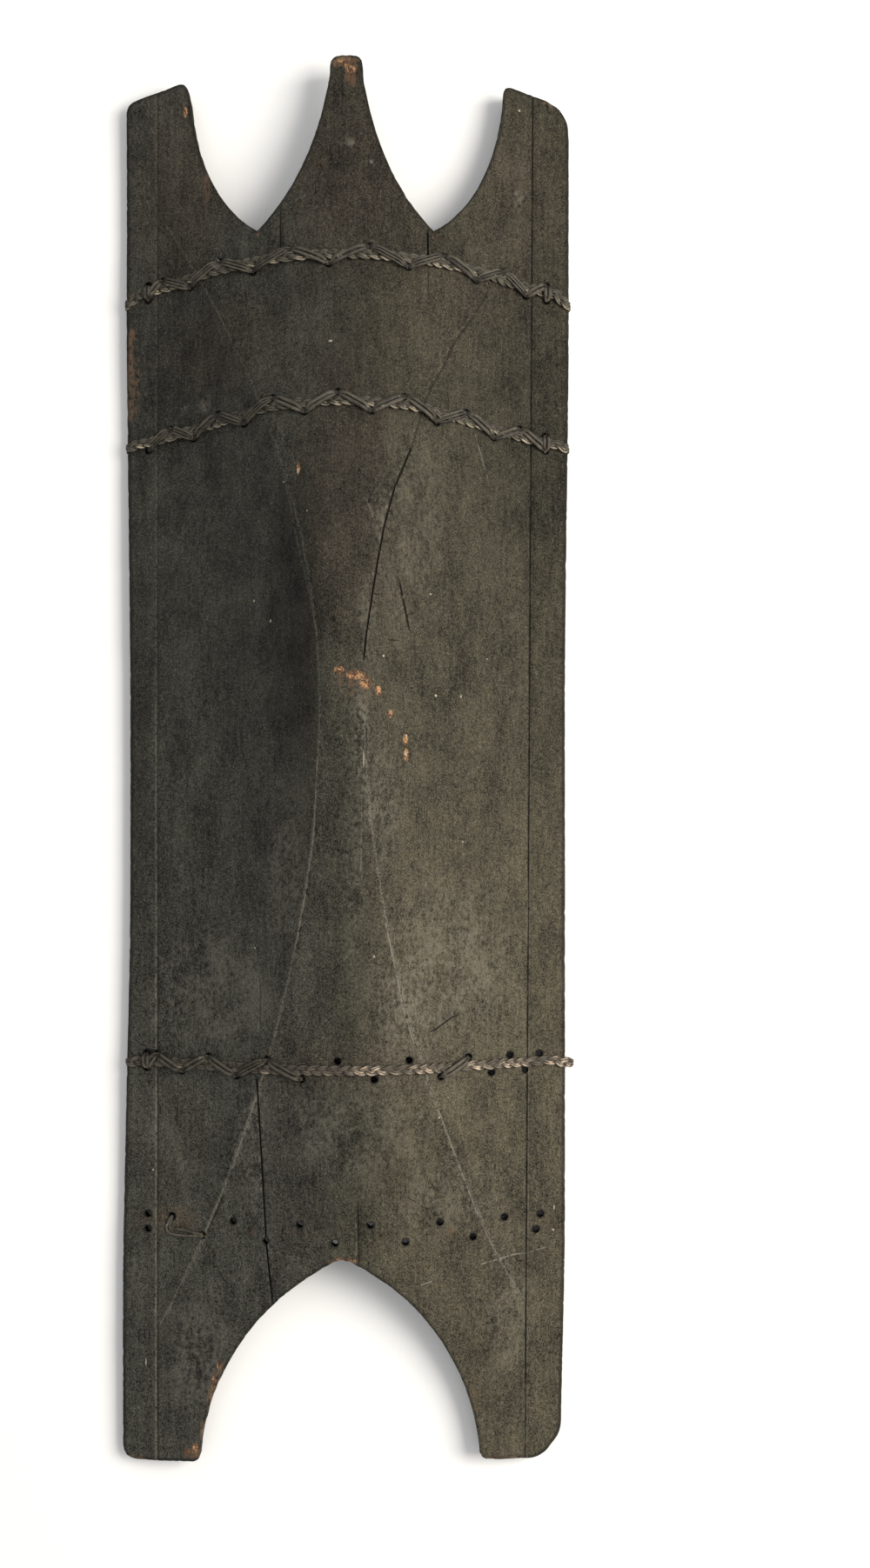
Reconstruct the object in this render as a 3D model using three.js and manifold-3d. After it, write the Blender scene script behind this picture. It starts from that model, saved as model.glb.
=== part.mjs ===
// A carved wooden shield with three prongs and two legs, lashed with plaited rattan.
// Millimetres. X runs across the shield, Y along it towards the prongs, Z up out of its front.
// The shield lies on its back, on the two rims of its hollow.
import * as THREE from 'three';
import { mergeVertices } from 'three/addons/utils/BufferGeometryUtils.js';
import Module from 'manifold-3d';

const wasm = await Module();
wasm.setup();

// Board: overall sizes
const LENGTH = 1100;
const WIDTH = 350;
const WAIST_INSET = 3;
const LEFT_FOOT_FLARE = 3;
const RIGHT_FOOT_INSET = 6.3;
const LEFT_TAPER_START = 122;
const LEFT_TAPER_LENGTH = 344;
const RIGHT_TAPER_LENGTH = 200;
const HEAD_TAPER_START = 510;
const HEAD_TAPER_LENGTH = 323;

const TOP = LENGTH / 2;
const FOOT = -LENGTH / 2;
const HALF_WIDTH = WIDTH / 2;
const HALF_WAIST = HALF_WIDTH - WAIST_INSET;

// Prongs at the top
const NOTCH_DEPTH = 143;
const VALLEY_REACH = 68;
const HORN_BELOW_TOP = 18;
const HORN_SLANT = 11;
const HORN_WIDTH = 53;
const HORN_SHOULDER_DROP = 15;
const HORN_CORNER_DROP = 45;
const LEFT_PEAK_HEIGHT = 3;
const LEFT_PEAK_INSET = 4;
const RIGHT_HORN_WEAR_WIDTH = 11;
const RIGHT_HORN_WEAR_HEIGHT = 26;
const SPIKE_TIP_WIDTH = 26;
const SPIKE_TIP_LENGTH = 15;
const SPIKE_ROUNDING = 6;

// Pulls that bend the sides of the notches: a width, and a share of the rise of the notch
const HORN_PULL_WIDTH = 5;
const HORN_PULL_SHARE = 0.55;
const VALLEY_PULL_WIDTH = 30;
const VALLEY_PULL_SHARE = 0.18;
const SPIKE_FOOT_PULL_WIDTH = 23.5;
const SPIKE_FOOT_PULL_SHARE = 0.22;
const SPIKE_NECK_PULL_WIDTH = 9.5;
const SPIKE_NECK_PULL_SHARE = 0.56;

// Legs at the bottom, with the pulls of the arch as shares of its half span and its rise
const ARCH_RISE = 162;
const ARCH_APEX_X = -2.9;
const ARCH_FOOT_PULL_SHARES = [0.09, 0.53];
const LEFT_ARCH_PULL_SHARES = [0.63, 0.9];
const RIGHT_ARCH_PULL_SHARES = [0.58, 0.9];
const LEFT_LEG_WIDTH = 63.3;
const RIGHT_LEG_WIDTH = 64.9;
const RIGHT_SOLE_HEIGHT = 1.5;
const RIGHT_FOOT_WEAR_WIDTH = 16;
const RIGHT_FOOT_WEAR_HEIGHT = 22;
const FOOT_SIDE_HEIGHT = 34;
const FOOT_ROUNDING = 12;
const CORNER_ROUNDING = 6;

// Carved front
const CREST_HEIGHT = 95;
const CREST_Y = 49.5;
const CREST_ROUNDING = 40;
const END_HEIGHT = 22;
const LOWER_SLOPE_LENGTH = 520;
const SLOPE_POWER = 0.95;
const RIM_EDGE_HEIGHT = 10;
const FLANGE_LINE_HEIGHT = 15;
const LEFT_FLANGE_WIDTH = 25.7;
const RIGHT_FLANGE_WIDTH = 29;
const HIP_WAIST_REACH = 16.5;
const HIP_WAIST_Y = 35;
const HIP_FLARE_WIDTH = 90;
const HIP_UPPER_LENGTH = 325;
const HIP_LOWER_LENGTH = 395;
const HIP_FLARE_POWER = 1.92;
const HIP_MARGIN = 5;
const CROWN_POWER = 1.8;
const SIDE_HOLLOWING_SHARE = 0.4;

// Hollow back and its carved grip
const RIM_STRIP = 7;
const WALL_AT_FLANGE = 9.5;
const WALL_AT_CREST = 14;
const GRIP_WIDTH = 24;
const GRIP_THICKNESS = 22;
const GRIP_FLOOR = 21;
const GRIP_CHAMFER = 5;
const FINGER_SPAN = 114;
const FINGER_CORNER = 12;
const KEEL_BAR_LENGTH = 150;
const KEEL_RAMP_LENGTH = 110;

// Plaited lashings and their lacing
const GAP = 0.3;
const FACET_ALLOWANCE = 0.4;
const SEAT = GAP + FACET_ALLOWANCE;
const HOLE_DIAMETER = 4.2;
const STRAND_DIAMETER = 3;
const HOLE_SPREAD_ENDS = 5.8;
const HOLE_SPREAD_MIDDLE = 7.2;
const ROW_INSET = 17;
const TURN_INSET = 14;
const BRAID_WIDTH = 7.2;
const BRAID_THICKNESS = 3.4;
const BRAID_EDGE_SHARE = 0.35;
const BRAID_SOLE_SHARE = 0.72;
const BRAID_CROWN_SHARE = 0.45;
const STITCH_WIDTH = 5.6;
const STITCH_THICKNESS = 1.6;
const STITCH_END_HEIGHT = 1.3;
const STITCH_SHOULDER_SHARE = 0.15;
const STITCH_NARROWING = 0.85;
const STITCH_CLEARANCE = 1.1;
const BACK_STITCH_THICKNESS = 0.8;
const BACK_CLEARANCE = 1.15;
const NOTCH_CEILING = 4.4;
const BRAID_TUCK = 10;
const WRAP_THICKNESS = 2;
const WRAP_CORNER_SHARE = 0.15;
const LOOSE_LOOP_WIDTH = 6;

// How far the rows of holes sit from the top and from the foot
const UPPER_ROW_DROP = 180;
const MIDDLE_ROW_DROP = 298.5;
const LOWER_ROW_HEIGHT = 315.7;
const BARE_ROW_HEIGHT = 189;

// Each row of holes: where it sits, how it bows, and how far its holes start from the sides.
// drift and swell bend the even spacing, as holes bored by eye.
const UPPER_ROW = {
  y: TOP - UPPER_ROW_DROP, bow: 13.5, endDrop: 8.5, leftInset: 30, rightInset: 18, count: 13,
  startsHigh: true, drift: 0.042, swell: -0.034, leftPairInset: 18, rightPairInset: 18,
};
const MIDDLE_ROW = {
  y: TOP - MIDDLE_ROW_DROP, bow: 14.5, endDrop: 3, leftInset: 18.4, rightInset: 18.9, count: 15,
  startsHigh: false, drift: -0.013, swell: -0.022, leftPairInset: null, rightPairInset: 18.9,
};
const LOWER_ROW = {
  y: FOOT + LOWER_ROW_HEIGHT, bow: -5, endDrop: 2, leftInset: 25, rightInset: 24, count: 15,
  startsHigh: true, drift: 0.074, swell: -0.043, leftPairInset: 17, rightPairInset: null,
};
const BARE_ROW = {
  y: FOOT + BARE_ROW_HEIGHT, bow: -5.6, endDrop: 0, leftInset: 37.6, rightInset: 26.6, count: 12,
  startsHigh: true, drift: 0, swell: -0.008, leftPairInset: 18, rightPairInset: 23,
};
const LOWER_STITCH_COUNT = 7;
const LONE_STITCH_INDEX = 11;

// The scrap of lacing left in the bare row hangs from its third hole to its fourth.
const SCRAP_INDEX = 2;
const SCRAP_SLACK_LENGTH = 11.5;
const SCRAP_SET_BACK = 4;
const SCRAP_TAPER_SHARE = 0.3;

// Facet counts
const BOARD_ROWS = 32;
const SIDE_STEPS = 4;
const CROWN_STEPS = 3;
const BRAID_CROWN_STEPS = 6;
const BRAID_SIDE_STEPS = 8;
const HOLE_SIDES = 6;
const STRAND_SIDES = 4;
const LONG_CURVE_STEPS = 10;
const CORNER_STEPS = 3;
const EDGE_STEPS = 18;
const KEEL_STEPS = 16;
const SHORTEST_FACET = 0.5;
const BEYOND = 10;

const ROW_REACH = HALF_WIDTH - ROW_INSET;
const TURN_REACH = HALF_WIDTH - TURN_INSET;

const clamp = (value, low, high) => Math.min(high, Math.max(low, value));
const mix = (a, b, t) => a + (b - a) * t;
const smooth = (t) => {
  const u = clamp(t, 0, 1);
  return u * u * (3 - 2 * u);
};
const point = (x, y) => new THREE.Vector2(x, y);

// Turns a closed geometry into a solid for joining and cutting.
function toSolid(geometry) {
  geometry.deleteAttribute('normal');
  geometry.deleteAttribute('uv');
  const merged = mergeVertices(geometry, 1e-4);
  return new wasm.Manifold(new wasm.Mesh({
    numProp: 3,
    vertProperties: new Float32Array(merged.attributes.position.array),
    triVerts: new Uint32Array(merged.index.array),
  }));
}

function toGeometry(solid) {
  const mesh = solid.getMesh();
  const geometry = new THREE.BufferGeometry();
  geometry.setAttribute('position', new THREE.BufferAttribute(mesh.vertProperties, 3));
  geometry.setIndex(new THREE.BufferAttribute(mesh.triVerts, 1));
  geometry.computeVertexNormals();
  return geometry;
}

// Joins a row of equal rings of points into a closed skin. The rings run counter-clockwise
// when seen from ahead, looking back along the row. Each end is a fan from its point hub.
function loft(rings, hub = 0) {
  const size = rings[0].length;
  const positions = rings.flat().flatMap((p) => [p.x, p.y, p.z]);
  const index = [];
  for (let r = 0; r + 1 < rings.length; r += 1) {
    for (let i = 0; i < size; i += 1) {
      const a = r * size + i;
      const b = r * size + ((i + 1) % size);
      index.push(a, b, b + size, a, b + size, a + size);
    }
  }
  const last = (rings.length - 1) * size;
  for (let i = 1; i + 1 < size; i += 1) {
    const a = (hub + i) % size;
    const b = (hub + i + 1) % size;
    index.push(hub, b, a, last + hub, last + a, last + b);
  }
  const geometry = new THREE.BufferGeometry();
  geometry.setAttribute('position', new THREE.Float32BufferAttribute(positions, 3));
  geometry.setIndex(index);
  return toSolid(geometry);
}

// Height of the crest along the middle of the front: it falls from the boss to both ends.
function crestHeight(y) {
  const along = y - CREST_Y;
  const run = Math.hypot(along, CREST_ROUNDING) - CREST_ROUNDING;
  const reach = along > 0 ? TOP - CREST_Y : LOWER_SLOPE_LENGTH;
  const left = clamp(1 - run / reach, 0, 1);
  return END_HEIGHT + (CREST_HEIGHT - END_HEIGHT) * left ** SLOPE_POWER;
}

// How far the side of the board stands from the middle: it draws in towards the waist.
function sideReach(side, y) {
  const foot = side < 0 ? HALF_WIDTH + LEFT_FOOT_FLARE : HALF_WIDTH - RIGHT_FOOT_INSET;
  const start = side < 0 ? LEFT_TAPER_START : 0;
  const length = side < 0 ? LEFT_TAPER_LENGTH : RIGHT_TAPER_LENGTH;
  const low = mix(foot, HALF_WAIST, smooth((y - FOOT - start) / length));
  return mix(low, HALF_WIDTH, smooth((y - TOP + HEAD_TAPER_START) / HEAD_TAPER_LENGTH));
}

// Distance of the incised flange line from the middle, on the side that x is on.
function flangeLine(x, y) {
  if (x < 0) return HALF_WIDTH - LEFT_FLANGE_WIDTH;
  const fromFoot = (y - FOOT) / LENGTH;
  return mix(HALF_WIDTH - RIGHT_FOOT_INSET, HALF_WIDTH, fromFoot) - RIGHT_FLANGE_WIDTH;
}

// Half the width of the middle facet: narrow at the boss, spreading like an hourglass.
function hipReach(x, y) {
  const along = y - HIP_WAIST_Y;
  const span = along > 0 ? HIP_UPPER_LENGTH : HIP_LOWER_LENGTH;
  const spread = HIP_WAIST_REACH + HIP_FLARE_WIDTH * Math.abs(along / span) ** HIP_FLARE_POWER;
  return Math.min(spread, flangeLine(x, y) - HIP_MARGIN);
}

function hipHeight(x, y) {
  const share = hipReach(x, y) / flangeLine(x, y);
  return mix(crestHeight(y), FLANGE_LINE_HEIGHT, share ** CROWN_POWER);
}

// Height of the carved front above the plane that the rims lie on.
function frontHeight(x, y) {
  const reach = Math.abs(x);
  const hip = hipReach(x, y);
  const line = flangeLine(x, y);
  if (reach <= hip) {
    return mix(crestHeight(y), hipHeight(x, y), (reach / hip) ** 2);
  }
  if (reach <= line) {
    const up = 1 - (reach - hip) / (line - hip);
    const rise = mix(up, up * up, SIDE_HOLLOWING_SHARE);
    return mix(FLANGE_LINE_HEIGHT, hipHeight(x, y), rise);
  }
  const fall = (FLANGE_LINE_HEIGHT - RIM_EDGE_HEIGHT) / (HALF_WIDTH - line);
  return FLANGE_LINE_HEIGHT - fall * (reach - line);
}

// Height of the hollow back, under a wall that thickens towards the crest.
function backHeight(x, y) {
  const reach = Math.abs(x);
  const line = flangeLine(x, y);
  const rim = HALF_WAIST - RIM_STRIP;
  if (reach > line) {
    const share = clamp((rim - reach) / (rim - line), 0, 1);
    return (FLANGE_LINE_HEIGHT - WALL_AT_FLANGE) * share;
  }
  return frontHeight(x, y) - mix(WALL_AT_CREST, WALL_AT_FLANGE, reach / line);
}

// Places across the shield where its carving bends, from left to right.
function stations(y, outermost, crownSteps, sideSteps) {
  const half = (side) => {
    const hip = hipReach(side, y);
    const line = flangeLine(side, y);
    const places = [];
    for (let i = 1; i <= crownSteps; i += 1) places.push((hip * i) / crownSteps);
    for (let i = 1; i <= sideSteps; i += 1) places.push(mix(hip, line, i / sideSteps));
    places.push(outermost);
    return places.map((reach) => reach * side);
  };
  return [...half(-1).reverse(), 0, ...half(1)];
}

// A solid under a carved surface, down to a flat floor.
function underSurface(height, outermost, floor) {
  const rings = [];
  for (let r = 0; r <= BOARD_ROWS; r += 1) {
    const y = mix(FOOT - BEYOND, TOP + BEYOND, r / BOARD_ROWS);
    const row = stations(y, outermost, CROWN_STEPS, SIDE_STEPS);
    const top = row.map((x) => new THREE.Vector3(x, y, height(x, y)));
    const low = [row[row.length - 1], 0, row[0]].map((x) => new THREE.Vector3(x, y, floor));
    rings.push([...low.slice(1), ...top, low[0]]);
  }
  return loft(rings);
}

function bend(start, startPull, endPull, end, steps = LONG_CURVE_STEPS) {
  const curve = new THREE.CubicBezierCurve(start, startPull, endPull, end);
  return curve.getPoints(steps);
}

// Rounds the corner at a point between its two neighbours.
function rounded(before, corner, after, size) {
  const from = corner.clone().lerp(before, size / corner.distanceTo(before));
  const to = corner.clone().lerp(after, size / corner.distanceTo(after));
  return new THREE.QuadraticBezierCurve(from, corner, to).getPoints(CORNER_STEPS);
}

// A stretch of the side of the board between two heights along it.
function sideEdge(side, from, to) {
  return Array.from({ length: EDGE_STEPS + 1 }, (_, i) => {
    const y = mix(from, to, i / EDGE_STEPS);
    return point(side * sideReach(side, y), y);
  });
}

// The outline seen from the front, counter-clockwise from the inner side of the right leg.
function boardOutline() {
  const hornTop = TOP - HORN_BELOW_TOP;
  const hornInner = HALF_WIDTH - HORN_WIDTH;
  const hornSide = hornTop - HORN_CORNER_DROP;
  const shoulder = hornTop - HORN_SHOULDER_DROP;
  const valleyY = TOP - NOTCH_DEPTH;
  const rise = shoulder - valleyY;
  const spikeHalf = SPIKE_TIP_WIDTH / 2;
  const spikeNeck = TOP - SPIKE_TIP_LENGTH;
  const tip = point(0, TOP);
  const leftOuter = -sideReach(-1, FOOT);
  const rightOuter = sideReach(1, FOOT);
  const leftInner = leftOuter + LEFT_LEG_WIDTH;
  const rightInner = rightOuter - RIGHT_LEG_WIDTH;
  const footTop = FOOT + FOOT_ROUNDING;
  const footSide = FOOT + FOOT_SIDE_HEIGHT;
  const apex = point(ARCH_APEX_X, FOOT + ARCH_RISE);

  const rightToe = point(rightInner, FOOT + RIGHT_SOLE_HEIGHT);
  const rightHeel = point(rightOuter - RIGHT_FOOT_WEAR_WIDTH, FOOT + RIGHT_SOLE_HEIGHT);
  const rightAnkle = point(rightOuter, FOOT + RIGHT_FOOT_WEAR_HEIGHT);
  const rightFoot = [
    ...rounded(point(rightInner, footTop), rightToe, rightHeel, CORNER_ROUNDING),
    ...rounded(rightToe, rightHeel, rightAnkle, FOOT_ROUNDING),
    ...rounded(rightHeel, rightAnkle, point(rightOuter, footSide), CORNER_ROUNDING),
  ];
  const rightBrow = point(HALF_WIDTH, hornTop - RIGHT_HORN_WEAR_HEIGHT);
  const rightCrown = point(HALF_WIDTH - RIGHT_HORN_WEAR_WIDTH, hornTop - HORN_SLANT);
  const rightPeak = point(hornInner, hornTop);
  const rightHorn = [
    ...rounded(point(HALF_WIDTH, hornSide), rightBrow, rightCrown, CORNER_ROUNDING),
    ...rounded(rightBrow, rightCrown, rightPeak, CORNER_ROUNDING),
    ...rounded(rightCrown, rightPeak, point(hornInner, shoulder), CORNER_ROUNDING),
  ];
  const leftPeak = point(-hornInner - LEFT_PEAK_INSET, hornTop + LEFT_PEAK_HEIGHT);
  const leftCrown = point(-HALF_WIDTH, hornTop - HORN_SLANT);
  const leftHorn = [
    ...rounded(point(-hornInner, shoulder), leftPeak, leftCrown, CORNER_ROUNDING),
    ...rounded(leftPeak, leftCrown, point(-HALF_WIDTH, hornSide), CORNER_ROUNDING),
  ];
  const notchSide = (side) => bend(
    point(side * hornInner, shoulder),
    point(side * (hornInner - HORN_PULL_WIDTH), valleyY + HORN_PULL_SHARE * rise),
    point(side * (VALLEY_REACH + VALLEY_PULL_WIDTH), valleyY + VALLEY_PULL_SHARE * rise),
    point(side * VALLEY_REACH, valleyY),
  );
  const spikeSide = (side) => bend(
    point(side * VALLEY_REACH, valleyY),
    point(side * (VALLEY_REACH - SPIKE_FOOT_PULL_WIDTH), valleyY + SPIKE_FOOT_PULL_SHARE * rise),
    point(side * (spikeHalf + SPIKE_NECK_PULL_WIDTH), valleyY + SPIKE_NECK_PULL_SHARE * rise),
    point(side * spikeHalf, spikeNeck),
  );
  const spikeCorner = (side) => rounded(
    point(side * spikeHalf, spikeNeck), point(side * spikeHalf, TOP), tip, SPIKE_ROUNDING,
  );
  const leftToe = point(leftInner, FOOT);
  const leftHeel = point(leftOuter, FOOT);
  const leftFoot = [
    ...rounded(point(leftOuter, footSide), leftHeel, leftToe, FOOT_ROUNDING),
    ...rounded(leftHeel, leftToe, point(leftInner, footTop), CORNER_ROUNDING),
  ];
  const archSide = (start, apexPull) => bend(
    start,
    point(mix(start.x, apex.x, ARCH_FOOT_PULL_SHARES[0]),
      mix(start.y, apex.y, ARCH_FOOT_PULL_SHARES[1])),
    point(mix(start.x, apex.x, apexPull[0]), mix(start.y, apex.y, apexPull[1])),
    apex,
  );
  const chain = [
    rightFoot,
    sideEdge(1, footSide, hornSide),
    rightHorn,
    notchSide(1),
    spikeSide(1).slice(1),
    spikeCorner(1),
    spikeCorner(-1).reverse(),
    spikeSide(-1).reverse(),
    notchSide(-1).reverse().slice(1),
    leftHorn,
    sideEdge(-1, hornSide, footSide),
    leftFoot,
    archSide(point(leftInner, footTop), LEFT_ARCH_PULL_SHARES),
    archSide(point(rightInner, footTop), RIGHT_ARCH_PULL_SHARES).reverse().slice(1),
  ].flat();
  return chain.filter((p, i) => p.distanceTo(chain[(i + 1) % chain.length]) > SHORTEST_FACET);
}

// A straight-sided solid of a shape, between two heights.
function prism(shape, low, high) {
  const geometry = new THREE.ExtrudeGeometry(shape, { depth: high - low, bevelEnabled: false });
  geometry.translate(0, 0, low);
  return toSolid(geometry);
}

// Half the distance between the upper and lower holes of a row.
function holeSpread(x) {
  return mix(HOLE_SPREAD_MIDDLE, HOLE_SPREAD_ENDS, (x / ROW_REACH) ** 2);
}

function rowLine(row, x) {
  return row.y + row.bow * (1 - (x / ROW_REACH) ** 2);
}

// The middle of a braid: it follows its row, and turns aside past the last holes.
function braidLine(row, x) {
  const past = smooth((Math.abs(x) - TURN_REACH) / (HALF_WIDTH - TURN_REACH));
  return rowLine(row, clamp(x, -ROW_REACH, ROW_REACH)) - row.endDrop * past;
}

function holeAt(row, x, high) {
  return point(x, rowLine(row, x) + (high ? 1 : -1) * holeSpread(x));
}

// The holes of a row from left to right, in the order in which the lacing passes them.
function rowHoles(row) {
  const holes = [];
  const left = row.leftInset - HALF_WIDTH;
  const right = HALF_WIDTH - row.rightInset;
  if (row.leftPairInset !== null) {
    const x = row.leftPairInset - HALF_WIDTH;
    holes.push(holeAt(row, x, row.startsHigh), holeAt(row, x, !row.startsHigh));
  }
  for (let k = 0; k < row.count; k += 1) {
    const t = k / (row.count - 1);
    const uneven = row.drift * Math.sin(Math.PI * t) + row.swell * Math.sin(2 * Math.PI * t);
    holes.push(holeAt(row, mix(left, right, t + uneven), row.startsHigh === (k % 2 === 0)));
  }
  if (row.rightPairInset !== null) {
    const lastIsHigh = row.startsHigh === ((row.count - 1) % 2 === 0);
    holes.push(holeAt(row, HALF_WIDTH - row.rightPairInset, !lastIsHigh));
  }
  return holes;
}

// An upright round rod at a hole, with its flats towards the ends of the shield.
function rod(place, diameter, low, high, sides) {
  const geometry = new THREE.CylinderGeometry(diameter / 2, diameter / 2, high - low, sides);
  geometry.rotateX(Math.PI / 2);
  geometry.translate(place.x, place.y, (low + high) / 2);
  return toSolid(geometry);
}

function union(solids) {
  return solids.reduce((whole, solid) => whole.add(solid));
}

// The keel left standing along the back, with the grip bar in its middle.
function keel() {
  const rings = [];
  const half = GRIP_WIDTH / 2;
  const inner = half - GRIP_CHAMFER;
  const reach = KEEL_BAR_LENGTH / 2 + KEEL_RAMP_LENGTH;
  for (let i = 0; i <= KEEL_STEPS; i += 1) {
    const along = mix(-reach, reach, i / KEEL_STEPS);
    const rise = smooth((Math.abs(along) - KEEL_BAR_LENGTH / 2) / KEEL_RAMP_LENGTH);
    const low = mix(GRIP_FLOOR, CREST_HEIGHT - WALL_AT_CREST, rise);
    const y = CREST_Y + along;
    rings.push([
      [half, CREST_HEIGHT], [-half, CREST_HEIGHT], [-half, low + GRIP_CHAMFER],
      [-inner, low], [inner, low], [half, low + GRIP_CHAMFER],
    ].map(([x, z]) => new THREE.Vector3(x, y, z)).reverse());
  }
  const gap = new THREE.Shape([
    point(-FINGER_SPAN / 2, CREST_HEIGHT),
    ...rounded(point(-FINGER_SPAN / 2, CREST_HEIGHT),
      point(-FINGER_SPAN / 2, GRIP_FLOOR + GRIP_THICKNESS),
      point(0, GRIP_FLOOR + GRIP_THICKNESS), FINGER_CORNER),
    ...rounded(point(0, GRIP_FLOOR + GRIP_THICKNESS),
      point(FINGER_SPAN / 2, GRIP_FLOOR + GRIP_THICKNESS),
      point(FINGER_SPAN / 2, CREST_HEIGHT), FINGER_CORNER),
    point(FINGER_SPAN / 2, CREST_HEIGHT),
  ]);
  const slot = new THREE.ExtrudeGeometry(gap, { depth: 2 * GRIP_WIDTH, bevelEnabled: false });
  slot.translate(0, 0, -GRIP_WIDTH);
  slot.rotateX(Math.PI / 2);
  slot.rotateZ(Math.PI / 2);
  slot.translate(0, CREST_Y, 0);
  return loft(rings).subtract(toSolid(slot));
}

const edgeProfile = boardOutline();
const outline = new THREE.Shape(edgeProfile);

// How far the edge of the board reaches at one height along it, on one side.
function edgeReach(side, y) {
  let reach = 0;
  edgeProfile.forEach((a, i) => {
    const b = edgeProfile[(i + 1) % edgeProfile.length];
    const crosses = (a.y - y) * (b.y - y) <= 0 && a.y !== b.y;
    if (crosses) reach = Math.max(reach, side * mix(a.x, b.x, (y - a.y) / (b.y - a.y)));
  });
  return reach;
}

// Bands where the braids pass under the rims lie in shallow notches.
function rimNotch(row, side) {
  const y = braidLine(row, side * HALF_WIDTH);
  const inner = edgeReach(side, y) - BRAID_TUCK - GAP;
  const wide = HALF_WIDTH + BEYOND - inner;
  const tall = NOTCH_CEILING + BEYOND;
  const geometry = new THREE.BoxGeometry(wide, BRAID_WIDTH + 2 * GAP, tall);
  geometry.translate(side * (inner + wide / 2), y, NOTCH_CEILING - tall / 2);
  return toSolid(geometry);
}

const OUTERMOST = HALF_WIDTH + BEYOND;
const block = underSurface(frontHeight, OUTERMOST, 0);
const cavity = underSurface(backHeight, HALF_WAIST - RIM_STRIP, -BEYOND);
const allHoles = [UPPER_ROW, MIDDLE_ROW, LOWER_ROW, BARE_ROW].flatMap(rowHoles);

const board = block
  .intersect(prism(outline, -BEYOND, CREST_HEIGHT + BEYOND))
  .subtract(cavity.subtract(keel()))
  .subtract(union(allHoles.map((hole) => (
    rod(hole, HOLE_DIAMETER, -BEYOND, CREST_HEIGHT, HOLE_SIDES)
  ))))
  .subtract(union([UPPER_ROW, MIDDLE_ROW, LOWER_ROW].flatMap((row) => [
    rimNotch(row, -1), rimNotch(row, 1),
  ])));

// A flat plait along a row, over both edges and tucked under the rims.
// looseLoop is how far it stands out from the right edge where it has worked loose.
function braid(row, looseLoop) {
  const wrap = (side, loose) => {
    const y = braidLine(row, side * HALF_WIDTH);
    const edge = edgeReach(side, y);
    const out = edge + GAP + WRAP_THICKNESS / 2 + loose;
    const low = NOTCH_CEILING - GAP - WRAP_THICKNESS / 2;
    const high = frontHeight(side * edge, y) + GAP + WRAP_THICKNESS / 2;
    const turn = WRAP_THICKNESS * WRAP_CORNER_SHARE;
    return [
      [edge - BRAID_TUCK, low, 0, -1],
      [out - WRAP_THICKNESS, low, 0, -1],
      [out - turn, low + turn, 1, -1],
      [out, mix(low, high, 0.5), 1, 0],
      [out - turn, high - turn, 1, 1],
    ].map(([x, z, outward, up]) => ({ x: side * x, y, z, outward: side * outward, up }));
  };
  const hipY = rowLine(row, hipReach(1, row.y));
  const reach = HALF_WAIST - WRAP_THICKNESS;
  const places = stations(hipY, reach, BRAID_CROWN_STEPS, BRAID_SIDE_STEPS);
  const across = [...places, -TURN_REACH, TURN_REACH]
    .sort((a, b) => a - b)
    .map((x) => ({ x, y: braidLine(row, x), z: null }));
  const half = BRAID_WIDTH / 2;
  const section = [
    [-half, BRAID_EDGE_SHARE], [-half * BRAID_SOLE_SHARE, 0], [half * BRAID_SOLE_SHARE, 0],
    [half, BRAID_EDGE_SHARE], [half * BRAID_CROWN_SHARE, 1], [-half * BRAID_CROWN_SHARE, 1],
  ];
  const route = [...wrap(-1, 0), ...across, ...wrap(1, looseLoop).reverse()];
  const rings = route.map((stop) => section.map(([aside, layer]) => {
    const y = stop.y + aside;
    if (stop.z === null) {
      return new THREE.Vector3(stop.x, y, frontHeight(stop.x, y) + SEAT + layer * BRAID_THICKNESS);
    }
    const off = ((layer - 0.5) * WRAP_THICKNESS) / Math.hypot(stop.outward, stop.up);
    return new THREE.Vector3(stop.x + stop.outward * off, y, stop.z + stop.up * off);
  }));
  return loft(rings);
}

// A flat strand laid from hole to hole. stops holds [share of the way, width, height], with
// the height counted from a surface. Its sections stand across the given direction.
function strand(from, to, stops, surface, thickness, aside) {
  return stops.map(([t, width, height]) => {
    const middle = from.clone().lerp(to, t);
    const low = surface(middle.x, middle.y) + height;
    const corner = (side, z) => {
      const p = middle.clone().addScaledVector(aside, (side * width) / 2);
      return new THREE.Vector3(p.x, p.y, z);
    };
    return [corner(-1, low), corner(1, low), corner(1, low + thickness), corner(-1, low + thickness)];
  });
}

const OVER_BRAID = SEAT + BRAID_THICKNESS + STITCH_CLEARANCE;
const FRONT_STOPS = [
  [0, STRAND_DIAMETER, STITCH_END_HEIGHT],
  [STITCH_SHOULDER_SHARE, STITCH_WIDTH * STITCH_NARROWING, OVER_BRAID],
  [0.5, STITCH_WIDTH, OVER_BRAID],
  [1 - STITCH_SHOULDER_SHARE, STITCH_WIDTH * STITCH_NARROWING, OVER_BRAID],
  [1, STRAND_DIAMETER, STITCH_END_HEIGHT],
];
const BACK_LEVEL = -BACK_CLEARANCE - BACK_STITCH_THICKNESS;
const BACK_STOPS = [0, 0.5, 1].map((t) => [t, STRAND_DIAMETER, BACK_LEVEL]);

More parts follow.
